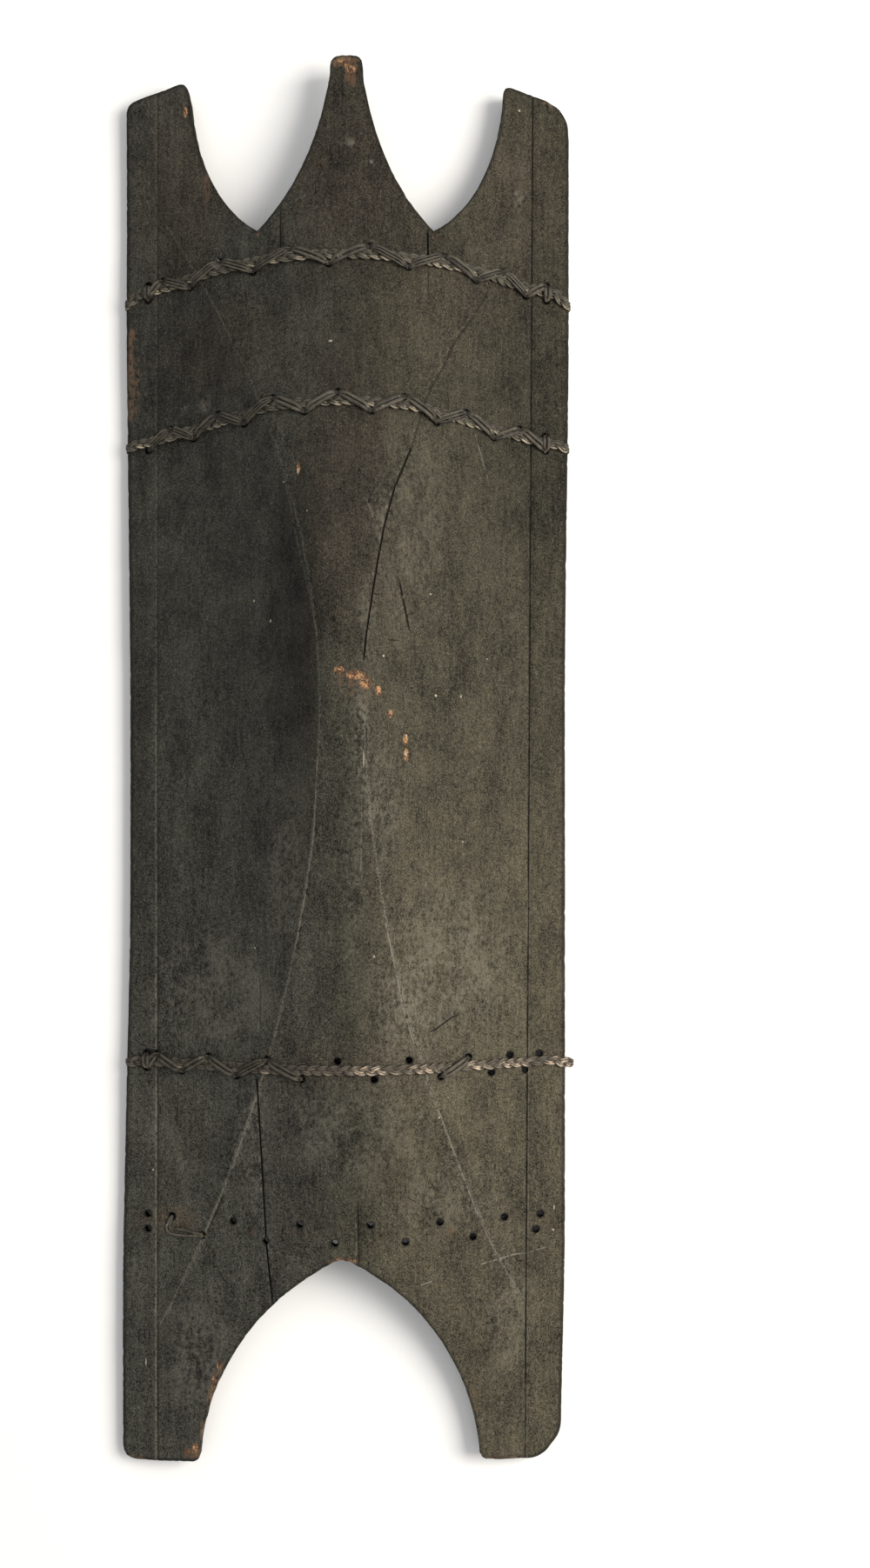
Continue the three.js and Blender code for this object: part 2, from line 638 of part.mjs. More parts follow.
// A strand that runs on through a row of holes. Two holes one above the other get a strand
// of their own, because the rest of the row is one ribbon from left to right.
function ribbons(holes, stops, surface, thickness) {
  const pieces = [];
  let run = [];
  const finish = () => {
    if (run.length) pieces.push(loft(run));
    run = [];
  };
  for (let i = 0; i + 1 < holes.length; i += 1) {
    const [from, to] = [holes[i], holes[i + 1]];
    if (Math.abs(to.x - from.x) < STRAND_DIAMETER) {
      finish();
      const aside = point(Math.sign(from.y - to.y), 0);
      pieces.push(loft(strand(from, to, stops, surface, thickness, aside)));
    } else {
      const part = strand(from, to, stops, surface, thickness, point(0, 1));
      run.push(...(run.length ? part.slice(1) : part));
    }
  }
  finish();
  return pieces;
}

// The part of a strand that fills a hole, from the back stitch to the front stitch.
function strandInHole(hole) {
  const low = backHeight(hole.x, hole.y) + BACK_LEVEL;
  const high = frontHeight(hole.x, hole.y) + STITCH_END_HEIGHT + STITCH_THICKNESS;
  return rod(hole, STRAND_DIAMETER, low, high, STRAND_SIDES);
}

// Lacing through a run of holes: a zigzag over the braid and one on the hollow back.
function lacing(holes) {
  return union([
    ...ribbons(holes, FRONT_STOPS, frontHeight, STITCH_THICKNESS),
    ...ribbons(holes, BACK_STOPS, backHeight, BACK_STITCH_THICKNESS),
    ...holes.map(strandInHole),
  ]);
}

// The scrap of a stitch left in the bare row: it drops from one hole and crosses to the next.
function scrap(from, to) {
  const low = point(from.x - SCRAP_SET_BACK, from.y - SCRAP_SLACK_LENGTH);
  const falling = [[0, STRAND_DIAMETER, SEAT], [1, STRAND_DIAMETER, SEAT]];
  const crossing = [
    [0, STRAND_DIAMETER, SEAT],
    [SCRAP_TAPER_SHARE, STITCH_WIDTH, SEAT],
    [1, STITCH_WIDTH, SEAT],
  ];
  return union([
    loft(strand(from, low, falling, frontHeight, STITCH_THICKNESS, point(1, 0))),
    loft(strand(low, to, crossing, frontHeight, STITCH_THICKNESS, point(0, 1))),
    strandInHole(from),
    strandInHole(to),
  ]);
}

const blackenedWood = new THREE.MeshStandardMaterial({ color: 0x3d3a34, roughness: 0.72, metalness: 0 });
const rattan = new THREE.MeshStandardMaterial({ color: 0x4e473b, roughness: 0.6, metalness: 0 });
const wornRattan = new THREE.MeshStandardMaterial({ color: 0x6f5c45, roughness: 0.62, metalness: 0 });

const shield = new THREE.Group();

function addPiece(name, solid, material) {
  const mesh = new THREE.Mesh(toGeometry(solid), material);
  mesh.name = name;
  shield.add(mesh);
}

const upperBraid = braid(UPPER_ROW, 0);
const middleBraid = braid(MIDDLE_ROW, 0);
const lowerBraid = braid(LOWER_ROW, LOOSE_LOOP_WIDTH);
const lowerHoles = rowHoles(LOWER_ROW);
const bareHoles = rowHoles(BARE_ROW);

addPiece('board', board, blackenedWood);
addPiece('braid_upper', upperBraid, rattan);
addPiece('braid_middle', middleBraid, rattan);
addPiece('braid_lower', lowerBraid, wornRattan);
addPiece('lacing_upper', lacing(rowHoles(UPPER_ROW)), rattan);
addPiece('lacing_middle', lacing(rowHoles(MIDDLE_ROW)), rattan);
addPiece('lacing_lower', lacing(lowerHoles.slice(0, LOWER_STITCH_COUNT + 1)), rattan);
addPiece('lacing_lower_stitch', lacing(lowerHoles.slice(LONE_STITCH_INDEX, LONE_STITCH_INDEX + 2)), rattan);
addPiece('lacing_scrap', scrap(bareHoles[SCRAP_INDEX], bareHoles[SCRAP_INDEX + 1]), rattan);

// The origin is the middle of the footprint, on the plane that the rims lie on.
const extent = new THREE.Box3().setFromObject(shield);
shield.position.x = -(extent.min.x + extent.max.x) / 2;
shield.position.y = -(extent.min.y + extent.max.y) / 2;

export default shield;
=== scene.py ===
"""A carved wooden shield with three prongs and two legs, lashed with plaited rattan.

Everything is in metres. X runs across the shield, Y along it towards the prongs and Z up
out of its carved front. The shield lies on its back on a pale floor.
"""

import logging
from dataclasses import dataclass, field
from enum import Enum

import bpy
import numpy as np
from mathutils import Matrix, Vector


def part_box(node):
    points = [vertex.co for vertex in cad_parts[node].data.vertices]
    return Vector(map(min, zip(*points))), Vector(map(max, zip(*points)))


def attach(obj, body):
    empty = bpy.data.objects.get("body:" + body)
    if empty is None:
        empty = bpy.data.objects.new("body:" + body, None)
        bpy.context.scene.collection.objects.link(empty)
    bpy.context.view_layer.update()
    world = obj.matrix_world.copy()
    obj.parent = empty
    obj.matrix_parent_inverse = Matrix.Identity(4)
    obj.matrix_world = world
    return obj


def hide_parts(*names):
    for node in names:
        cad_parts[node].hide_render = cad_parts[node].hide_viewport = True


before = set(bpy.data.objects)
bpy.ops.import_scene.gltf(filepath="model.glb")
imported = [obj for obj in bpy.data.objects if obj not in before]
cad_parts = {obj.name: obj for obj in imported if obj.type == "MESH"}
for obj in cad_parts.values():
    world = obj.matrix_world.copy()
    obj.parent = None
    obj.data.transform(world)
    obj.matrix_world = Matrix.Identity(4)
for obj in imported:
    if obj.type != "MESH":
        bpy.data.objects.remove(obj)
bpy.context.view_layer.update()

PHOTO_WIDTH = 1000
PHOTO_HEIGHT = 1803
SHARP_DEGREES = 50.0

Array = np.ndarray
log = logging.getLogger("shield")


class Slot(Enum):
    """The material slots of the record."""

    WOOD = "blackened_wood"
    RATTAN = "rattan"
    WORN_RATTAN = "worn_rattan"


def mix(a: Array | float, b: Array | float, t: Array | float) -> Array | float:
    """Straight blend from a to b."""
    return a + (b - a) * t


def smooth(t: Array | float) -> Array | float:
    """Smooth step from 0 to 1: three t squared less two t cubed."""
    u = np.clip(t, 0.0, 1.0)
    return u * u * (3.0 - 2.0 * u)


def ripples(x: Array, y: Array, seed: int, size: tuple[float, float], waves: int = 14) -> Array:
    """Smooth noise between about -1 and 1: a sum of sine waves of random headings.

    Args:
        x: Places across.
        y: Places along.
        seed: Fixes the random draws.
        size: Length of a ripple across and along.
        waves: How many sine waves are summed.

    Returns:
        The noise at each place.
    """
    rng = np.random.default_rng(seed)
    heading = rng.uniform(0.0, 2.0 * np.pi, waves)
    pace = rng.uniform(0.6, 1.5, waves) * 2.0 * np.pi
    phase = rng.uniform(0.0, 2.0 * np.pi, waves)
    total = np.zeros(np.broadcast(x, y).shape)
    for angle, rate, start in zip(heading, pace, phase):
        total += np.sin(rate * (np.cos(angle) * x / size[0] + np.sin(angle) * y / size[1]) + start)
    return total / np.sqrt(waves)


@dataclass(frozen=True)
class Ripple:
    """Unevenness of a surface: its height, the seed of its draws and the size of its waves."""

    height: float
    seed: int
    size: tuple[float, float]
    waves: int = 14

    def at(self, x: Array, y: Array) -> Array:
        """What it adds at each place."""
        return self.height * ripples(x, y, self.seed, self.size, self.waves)


@dataclass(frozen=True)
class Row:
    """A row of lacing holes across the board, and the line of the plait over it."""

    y: float
    bow: float
    end_drop: float
    left_inset: float
    right_inset: float
    count: int
    starts_high: bool
    drift: float
    swell: float
    left_pair_inset: float | None
    right_pair_inset: float | None


@dataclass(frozen=True)
class ShieldForm:
    """The carved form: its sizes, and its heights as formulas of the place on the board."""

    length: float = 1.100
    width: float = 0.350
    waist_inset: float = 0.003
    left_foot_flare: float = 0.003
    right_foot_inset: float = 0.0063
    left_taper_start: float = 0.122
    left_taper_length: float = 0.344
    right_taper_length: float = 0.200
    head_taper_start: float = 0.510
    head_taper_length: float = 0.323
    crest_height: float = 0.095
    crest_y: float = 0.0495
    crest_rounding: float = 0.040
    end_height: float = 0.022
    lower_slope_length: float = 0.520
    slope_power: float = 0.95
    rim_edge_height: float = 0.010
    flange_line_height: float = 0.015
    left_flange_width: float = 0.0257
    right_flange_width: float = 0.029
    hip_waist_reach: float = 0.0165
    hip_waist_y: float = 0.035
    hip_flare_width: float = 0.090
    hip_upper_length: float = 0.325
    hip_lower_length: float = 0.395
    hip_flare_power: float = 1.92
    hip_margin: float = 0.005
    crown_power: float = 1.8
    side_hollowing: float = 0.4
    rim_strip: float = 0.007
    wall_at_flange: float = 0.0095
    wall_at_crest: float = 0.014
    row_inset: float = 0.017
    turn_inset: float = 0.014
    hole_spread_ends: float = 0.0058
    hole_spread_middle: float = 0.0072
    notch_ceiling: float = 0.0044
    notch_width: float = 0.0078
    notch_length: float = 0.0103

    @property
    def top(self) -> float:
        """Height of the tip of the spike along the board."""
        return self.length / 2

    @property
    def foot(self) -> float:
        """Height of the feet along the board."""
        return -self.length / 2

    @property
    def half(self) -> float:
        """Half the width at the head."""
        return self.width / 2

    @property
    def waist(self) -> float:
        """Half the width at the waist."""
        return self.half - self.waist_inset

    def side_reach(self, side: int, y: Array) -> Array:
        """Reach of the side: two smooth steps, from foot to waist and from waist to head."""
        left = side < 0
        foot = self.half + self.left_foot_flare if left else self.half - self.right_foot_inset
        start = self.left_taper_start if left else 0.0
        length = self.left_taper_length if left else self.right_taper_length
        low = mix(foot, self.waist, smooth((y - self.foot - start) / length))
        head = smooth((y - self.top + self.head_taper_start) / self.head_taper_length)
        return mix(low, self.half, head)

    def crest(self, y: Array) -> Array:
        """Height of the crest: a rounded peak that falls by a power to both ends."""
        along = y - self.crest_y
        run = np.hypot(along, self.crest_rounding) - self.crest_rounding
        reach = np.where(along > 0, self.top - self.crest_y, self.lower_slope_length)
        left = np.clip(1.0 - run / reach, 0.0, 1.0)
        return self.end_height + (self.crest_height - self.end_height) * left**self.slope_power

    def flange_line(self, x: Array, y: Array) -> Array:
        """Distance of the scribed flange line from the middle: straight on either side."""
        share = (y - self.foot) / self.length
        right = mix(self.half - self.right_foot_inset, self.half, share) - self.right_flange_width
        return np.where(x < 0, self.half - self.left_flange_width, right)

    def hip_reach(self, x: Array, y: Array) -> Array:
        """Half the width of the middle facet: a waist plus a power of the way from it."""
        along = y - self.hip_waist_y
        span = np.where(along > 0, self.hip_upper_length, self.hip_lower_length)
        spread = np.abs(along / span) ** self.hip_flare_power * self.hip_flare_width
        return np.minimum(self.hip_waist_reach + spread, self.flange_line(x, y) - self.hip_margin)

    def hip_height(self, x: Array, y: Array) -> Array:
        """Height of the hip line: a power blend from the crest down to the flange line."""
        share = self.hip_reach(x, y) / self.flange_line(x, y)
        return mix(self.crest(y), self.flange_line_height, share**self.crown_power)

    def front(self, x: Array, y: Array) -> Array:
        """Height of the plain carved front.

        Between the hips it is a parabola from the crest, from hip to flange line a slope that
        is partly hollow, and past the flange line a straight fall to the rim.
        """
        reach = np.abs(x)
        hip = self.hip_reach(x, y)
        line = self.flange_line(x, y)
        high = self.hip_height(x, y)
        crown = mix(self.crest(y), high, (np.minimum(reach, hip) / hip) ** 2)
        up = np.clip(1.0 - (reach - hip) / (line - hip), 0.0, 1.0)
        slope = mix(self.flange_line_height, high, mix(up, up * up, self.side_hollowing))
        fall = (self.flange_line_height - self.rim_edge_height) / (self.half - line)
        flange = self.flange_line_height - fall * (reach - line)
        return np.where(reach <= hip, crown, np.where(reach <= line, slope, flange))

    def back(self, x: Array, y: Array) -> Array:
        """Height of the hollow back: the front less a wall, and flat under the rims."""
        reach = np.abs(x)
        line = self.flange_line(x, y)
        rim = self.waist - self.rim_strip
        share = np.clip((rim - reach) / (rim - line), 0.0, 1.0)
        outer = (self.flange_line_height - self.wall_at_flange) * share
        wall = mix(self.wall_at_crest, self.wall_at_flange, np.minimum(reach / line, 1.0))
        return np.where(reach > line, outer, self.front(x, y) - wall)

    def row_line(self, row: Row, x: Array) -> Array:
        """Line of a row of holes: a shallow parabola."""
        return row.y + row.bow * (1.0 - (x / (self.half - self.row_inset)) ** 2)

    def plait_line(self, row: Row, x: Array) -> Array:
        """Line of a plait: its row, turning aside by a smooth step past the last holes."""
        reach = self.half - self.row_inset
        turn = self.half - self.turn_inset
        past = smooth((np.abs(x) - turn) / (self.half - turn))
        return self.row_line(row, np.clip(x, -reach, reach)) - row.end_drop * past

    def hole(self, row: Row, x: float, high: bool) -> tuple[float, float]:
        """Centre of a hole above or below its row."""
        share = (x / (self.half - self.row_inset)) ** 2
        spread = mix(self.hole_spread_middle, self.hole_spread_ends, share)
        return x, float(self.row_line(row, x)) + (spread if high else -spread)

    def holes(self, row: Row) -> list[tuple[float, float]]:
        """Holes of a row from left to right, in the order in which the lacing takes them.

        Their spacing is even but for two sine waves, as holes bored by eye.
        """
        places = []
        left = row.left_inset - self.half
        right = self.half - row.right_inset
        if row.left_pair_inset is not None:
            x = row.left_pair_inset - self.half
            places += [self.hole(row, x, row.starts_high), self.hole(row, x, not row.starts_high)]
        for k in range(row.count):
            t = k / (row.count - 1)
            uneven = row.drift * np.sin(np.pi * t) + row.swell * np.sin(2.0 * np.pi * t)
            x = float(mix(left, right, t + uneven))
            places.append(self.hole(row, x, row.starts_high == (k % 2 == 0)))
        if row.right_pair_inset is not None:
            last_high = row.starts_high == ((row.count - 1) % 2 == 0)
            places.append(self.hole(row, self.half - row.right_pair_inset, not last_high))
        return places


FORM = ShieldForm()
SHIFT_X = float(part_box("board")[0][0]) + FORM.half + FORM.left_foot_flare

UPPER_ROW = Row(
    y=FORM.top - 0.180, bow=0.0135, end_drop=0.0085, left_inset=0.030, right_inset=0.018,
    count=13, starts_high=True, drift=0.042, swell=-0.034,
    left_pair_inset=0.018, right_pair_inset=0.018,
)
MIDDLE_ROW = Row(
    y=FORM.top - 0.2985, bow=0.0145, end_drop=0.003, left_inset=0.0184, right_inset=0.0189,
    count=15, starts_high=False, drift=-0.013, swell=-0.022,
    left_pair_inset=None, right_pair_inset=0.0189,
)
LOWER_ROW = Row(
    y=FORM.foot + 0.3157, bow=-0.005, end_drop=0.002, left_inset=0.025, right_inset=0.024,
    count=15, starts_high=True, drift=0.074, swell=-0.043,
    left_pair_inset=0.017, right_pair_inset=None,
)
BARE_ROW = Row(
    y=FORM.foot + 0.189, bow=-0.0056, end_drop=0.0, left_inset=0.0376, right_inset=0.0266,
    count=12, starts_high=True, drift=0.0, swell=-0.008,
    left_pair_inset=0.018, right_pair_inset=0.023,
)
LACED_ROWS = (UPPER_ROW, MIDDLE_ROW, LOWER_ROW)
ALL_ROWS = (*LACED_ROWS, BARE_ROW)
LOWER_STITCH_COUNT = 7
LONE_STITCH_INDEX = 11
SCRAP_INDEX = 2


@dataclass(frozen=True)
class Viewpoint:
    """Where the camera stands over the shield, and how a place in its picture maps to the board."""

    x: float = 0.069
    y: float = -0.15341
    height: float = 1.300
    focal_pixels: float = 1876.81
    centre_u: float = 500.0
    centre_v: float = 1101.0
    film: float = 0.036
    passes: int = 4

    @property
    def pixel(self) -> float:
        """Size of a pixel of the picture at the height of the floor."""
        return self.height / self.focal_pixels

    def on_board(self, marks: Array) -> Array:
        """Board places under marks in the picture.

        A mark is carried straight out from the lens to the height of the front there, and the
        height is worked out afresh a few times.

        Args:
            marks: Rows of picture places, in pixels.

        Returns:
            Rows of board places x, y.
        """
        marks = np.asarray(marks, dtype=float)
        z = np.full(len(marks), FORM.end_height)
        for _ in range(self.passes):
            scale = (self.height - z) / self.focal_pixels
            x = self.x + (marks[:, 0] - self.centre_u) * scale
            y = self.y - (marks[:, 1] - self.centre_v) * scale
            z = FORM.front(x, y)
        return np.stack([x, y], axis=1)

    def camera(self) -> None:
        """The camera, straight over the board, shifted so that the frame is the picture's."""
        data = bpy.data.cameras.new("camera")
        data.sensor_fit = "AUTO"
        data.sensor_width = self.film * 1000
        data.lens = self.focal_pixels / PHOTO_HEIGHT * data.sensor_width
        data.shift_x = (PHOTO_WIDTH / 2 - self.centre_u) / PHOTO_HEIGHT
        data.shift_y = (self.centre_v - PHOTO_HEIGHT / 2) / PHOTO_HEIGHT
        data.clip_start = 0.05
        data.clip_end = 30.0
        camera = bpy.data.objects.new("camera", data)
        camera.location = (self.x + SHIFT_X, self.y, self.height)
        bpy.context.scene.collection.objects.link(camera)
        bpy.context.scene.camera = camera


VIEW = Viewpoint()


@dataclass(frozen=True)
class Wire:
    """An output of a node, which can be added, subtracted and multiplied like a number."""

    nodes: "Nodes"
    socket: bpy.types.NodeSocket

    def __add__(self, other: object) -> "Wire":
        """This plus a wire or a number."""
        return self.nodes.math("ADD", self, other)

    def __sub__(self, other: object) -> "Wire":
        """This less a wire or a number."""
        return self.nodes.math("SUBTRACT", self, other)

    def __rsub__(self, other: object) -> "Wire":
        """A number less this."""
        return self.nodes.math("SUBTRACT", other, self)

    def __mul__(self, other: object) -> "Wire":
        """This times a wire or a number."""
        return self.nodes.math("MULTIPLY", self, other)

    __radd__ = __add__


class Nodes:
    """A short way to write a material's nodes."""

    def __init__(self, name: str) -> None:
        """Start an empty material.

        Args:
            name: Name of the material.
        """
        self.material = bpy.data.materials.new(name)
        self.material.use_nodes = True
        self.tree = self.material.node_tree
        self.tree.nodes.clear()
        self.shader = self.tree.nodes.new("ShaderNodeBsdfPrincipled")
        output = self.tree.nodes.new("ShaderNodeOutputMaterial")
        self.tree.links.new(self.shader.outputs["BSDF"], output.inputs["Surface"])
        self.place = Wire(self, self.tree.nodes.new("ShaderNodeTexCoord").outputs["Object"])

    def _feed(self, socket: bpy.types.NodeSocket, value: object) -> None:
        """Link a wire to a socket, or set the socket to a value."""
        if isinstance(value, Wire):
            self.tree.links.new(value.socket, socket)
        elif value is not None:
            socket.default_value = value

    def _fed(self, kind: str, *values: object, operation: str | None = None) -> bpy.types.Node:
        """A new node whose first inputs are fed with values."""
        node = self.tree.nodes.new(kind)
        if operation is not None:
            node.operation = operation
        for socket, value in zip(node.inputs, values):
            self._feed(socket, value)
        return node

    def math(self, operation: str, a: object, b: object = None) -> Wire:
        """One Math node."""
        return Wire(self, self._fed("ShaderNodeMath", a, b, operation=operation).outputs[0])

    def vector(self, operation: str, a: object, b: object = None) -> Wire:
        """One Vector Math node, giving a number for LENGTH and DOT_PRODUCT, else a vector."""
        node = self._fed("ShaderNodeVectorMath", a, b, operation=operation)
        scalar = operation in ("LENGTH", "DOT_PRODUCT")
        return Wire(self, node.outputs["Value" if scalar else "Vector"])

    def parts(self, vector: Wire) -> tuple[Wire, ...]:
        """The three parts of a vector."""
        return tuple(Wire(self, out) for out in self._fed("ShaderNodeSeparateXYZ", vector).outputs)

    def joined(self, x: Wire, y: Wire, z: Wire) -> Wire:
        """A vector put together from its three parts."""
        return Wire(self, self._fed("ShaderNodeCombineXYZ", x, y, z).outputs[0])

    def attribute(self, name: str) -> tuple[Wire, ...]:
        """The three parts of a vector attribute of the mesh."""
        node = self.tree.nodes.new("ShaderNodeAttribute")
        node.attribute_name = name
        return self.parts(Wire(self, node.outputs["Vector"]))

    def facing(self, direction: tuple[float, float, float]) -> Wire:
        """How far the surface faces a direction, from -1 to 1."""
        geometry = self.tree.nodes.new("ShaderNodeNewGeometry")
        return self.vector("DOT_PRODUCT", Wire(self, geometry.outputs["Normal"]), direction)

    def scaled(self, colour: object, factor: Wire) -> Wire:
        """A colour times a factor."""
        start = colour[:3] if isinstance(colour, tuple) else colour
        node = self._fed("ShaderNodeVectorMath", start, operation="SCALE")
        self._feed(node.inputs["Scale"], factor)
        return Wire(self, node.outputs["Vector"])

    def varied(self, *terms: tuple[Wire, float]) -> Wire:
        """1 plus each noise less its middle, times its strength."""
        total: object = 1.0
        for noise, strength in terms:
            total = total + (noise - 0.5) * strength
        return self.math("MAXIMUM", total, 0.05)

    def noise(
        self, scale: float, stretch: tuple[float, float, float] = (1, 1, 1), detail: float = 6.0,
        roughness: float = 0.55, place: Wire | None = None,
    ) -> Wire:
        """Noise between 0 and 1, stretched by scaling the place it reads."""
        node = self.tree.nodes.new("ShaderNodeTexNoise")
        node.inputs["Scale"].default_value = scale
        node.inputs["Detail"].default_value = detail
        node.inputs["Roughness"].default_value = roughness
        scaled = self.vector("MULTIPLY", self.place if place is None else place, stretch)
        self._feed(node.inputs["Vector"], scaled)
        return Wire(self, node.outputs["Fac"])

    def step(self, value: Wire, start: float, end: float) -> Wire:
        """Smooth step of a value from 0 at start to 1 at end, either way round."""
        rising = start < end
        node = self.tree.nodes.new("ShaderNodeMapRange")
        node.interpolation_type = "SMOOTHSTEP"
        self._feed(node.inputs["Value"], value)
        node.inputs["From Min"].default_value = min(start, end)
        node.inputs["From Max"].default_value = max(start, end)
        node.inputs["To Min"].default_value = 0.0 if rising else 1.0
        node.inputs["To Max"].default_value = 1.0 if rising else 0.0
        return Wire(self, node.outputs["Result"])

    def line(self, distance: Wire, half_width: float, soft: float) -> Wire:
        """1 within half_width of a line, falling to 0 over soft."""
        return self.step(self.math("ABSOLUTE", distance), half_width + soft, half_width)

    def blend(self, base: object, top: object, share: Wire) -> Wire:
        """Colour top over colour base."""
        node = self.tree.nodes.new("ShaderNodeMix")
        node.data_type = "RGBA"
        colours = [s for s in node.inputs if s.type == "RGBA"]
        self._feed(node.inputs[0], share)
        self._feed(colours[0], base)
        self._feed(colours[1], top)
        return Wire(self, next(s for s in node.outputs if s.type == "RGBA"))

    def bump(self, height: Wire, distance: float, strength: float) -> Wire:
        """A Bump node."""
        node = self.tree.nodes.new("ShaderNodeBump")
        node.inputs["Strength"].default_value = strength
        node.inputs["Distance"].default_value = distance
        self._feed(node.inputs["Height"], height)
        return Wire(self, node.outputs["Normal"])

    def finish(
        self, colour: object, roughness: object, normal: Wire | None, specular: float
    ) -> bpy.types.Material:
        """Wire the shader and give the material back."""
        self._feed(self.shader.inputs["Base Color"], colour)
        self._feed(self.shader.inputs["Roughness"], roughness)
        self._feed(self.shader.inputs["Normal"], normal)
        self.shader.inputs["Specular IOR Level"].default_value = specular
        return self.material


Colour = tuple[float, float, float, float]


class Tint(Enum):
    """What a fleck shows."""

    RAW = "raw wood"
    PALE = "pale chip"
    DARK = "dark nick"


@dataclass(frozen=True)
class Fleck:
    """A small worn or chipped spot: its mark in the picture and its half sizes in pixels."""

    u: float
    v: float
    across: float
    along: float


FLECKS = {
    Tint.RAW: (
        Fleck(409, 776, 13, 6), Fleck(420, 785, 8, 8), Fleck(435, 794, 4, 7),
        Fleck(449, 821, 3, 6), Fleck(466, 850, 3.5, 8), Fleck(467, 868, 3.5, 9),
        Fleck(390, 770, 7, 5), Fleck(213, 128, 3, 8), Fleck(404, 80, 7, 6), Fleck(392, 70, 10, 3),
        Fleck(343, 538, 2.6, 9), Fleck(246, 1590, 3.5, 10), Fleck(252, 1571, 3.5, 5),
        Fleck(225, 1664, 5, 6), Fleck(392, 1448, 8, 2.6), Fleck(408, 1450, 7, 2.2),
    ),
    Tint.PALE: (
        Fleck(342, 541, 1.4, 5), Fleck(380, 392, 4, 2.2), Fleck(597, 127, 2.4, 2.4),
        Fleck(430, 1100, 2, 2.6), Fleck(501, 800, 2.4, 2.8), Fleck(530, 801, 1.4, 3),
        Fleck(495, 683, 2.2, 1.6), Fleck(441, 754, 2, 2.4), Fleck(532, 968, 1.7, 2),
        Fleck(292, 691, 2, 2.5), Fleck(311, 714, 1.6, 3), Fleck(293, 1090, 1.6, 2),
        Fleck(168, 1566, 1.3, 7), Fleck(384, 1434, 3.4, 3), Fleck(463, 686, 1.8, 3),
        Fleck(326, 554, 1.5, 1.5), Fleck(353, 587, 1.3, 1.3), Fleck(467, 846, 1.8, 2.6),
        Fleck(466, 866, 2.0, 5), Fleck(505, 1285, 2.4, 2), Fleck(637, 1388, 1.6, 5),
        Fleck(636, 1414, 2.2, 2.2), Fleck(176, 1345, 2, 2), Fleck(312, 1483, 1.4, 2),
        Fleck(560, 758, 1.4, 1.6), Fleck(418, 873, 1.0, 16),
    ),
    Tint.DARK: (
        Fleck(569, 1341, 1.2, 6), Fleck(160, 1536, 1.2, 11), Fleck(166, 1533, 1.1, 9),
        Fleck(172, 1536, 1.2, 11), Fleck(451, 736, 7, 1.3), Fleck(401, 379, 1.6, 1.6),
        Fleck(184, 1276, 1.3, 7), Fleck(384, 1432, 6, 5.5), Fleck(421, 855, 1.2, 26),
        Fleck(433, 683, 4, 1.5),
    ),
}


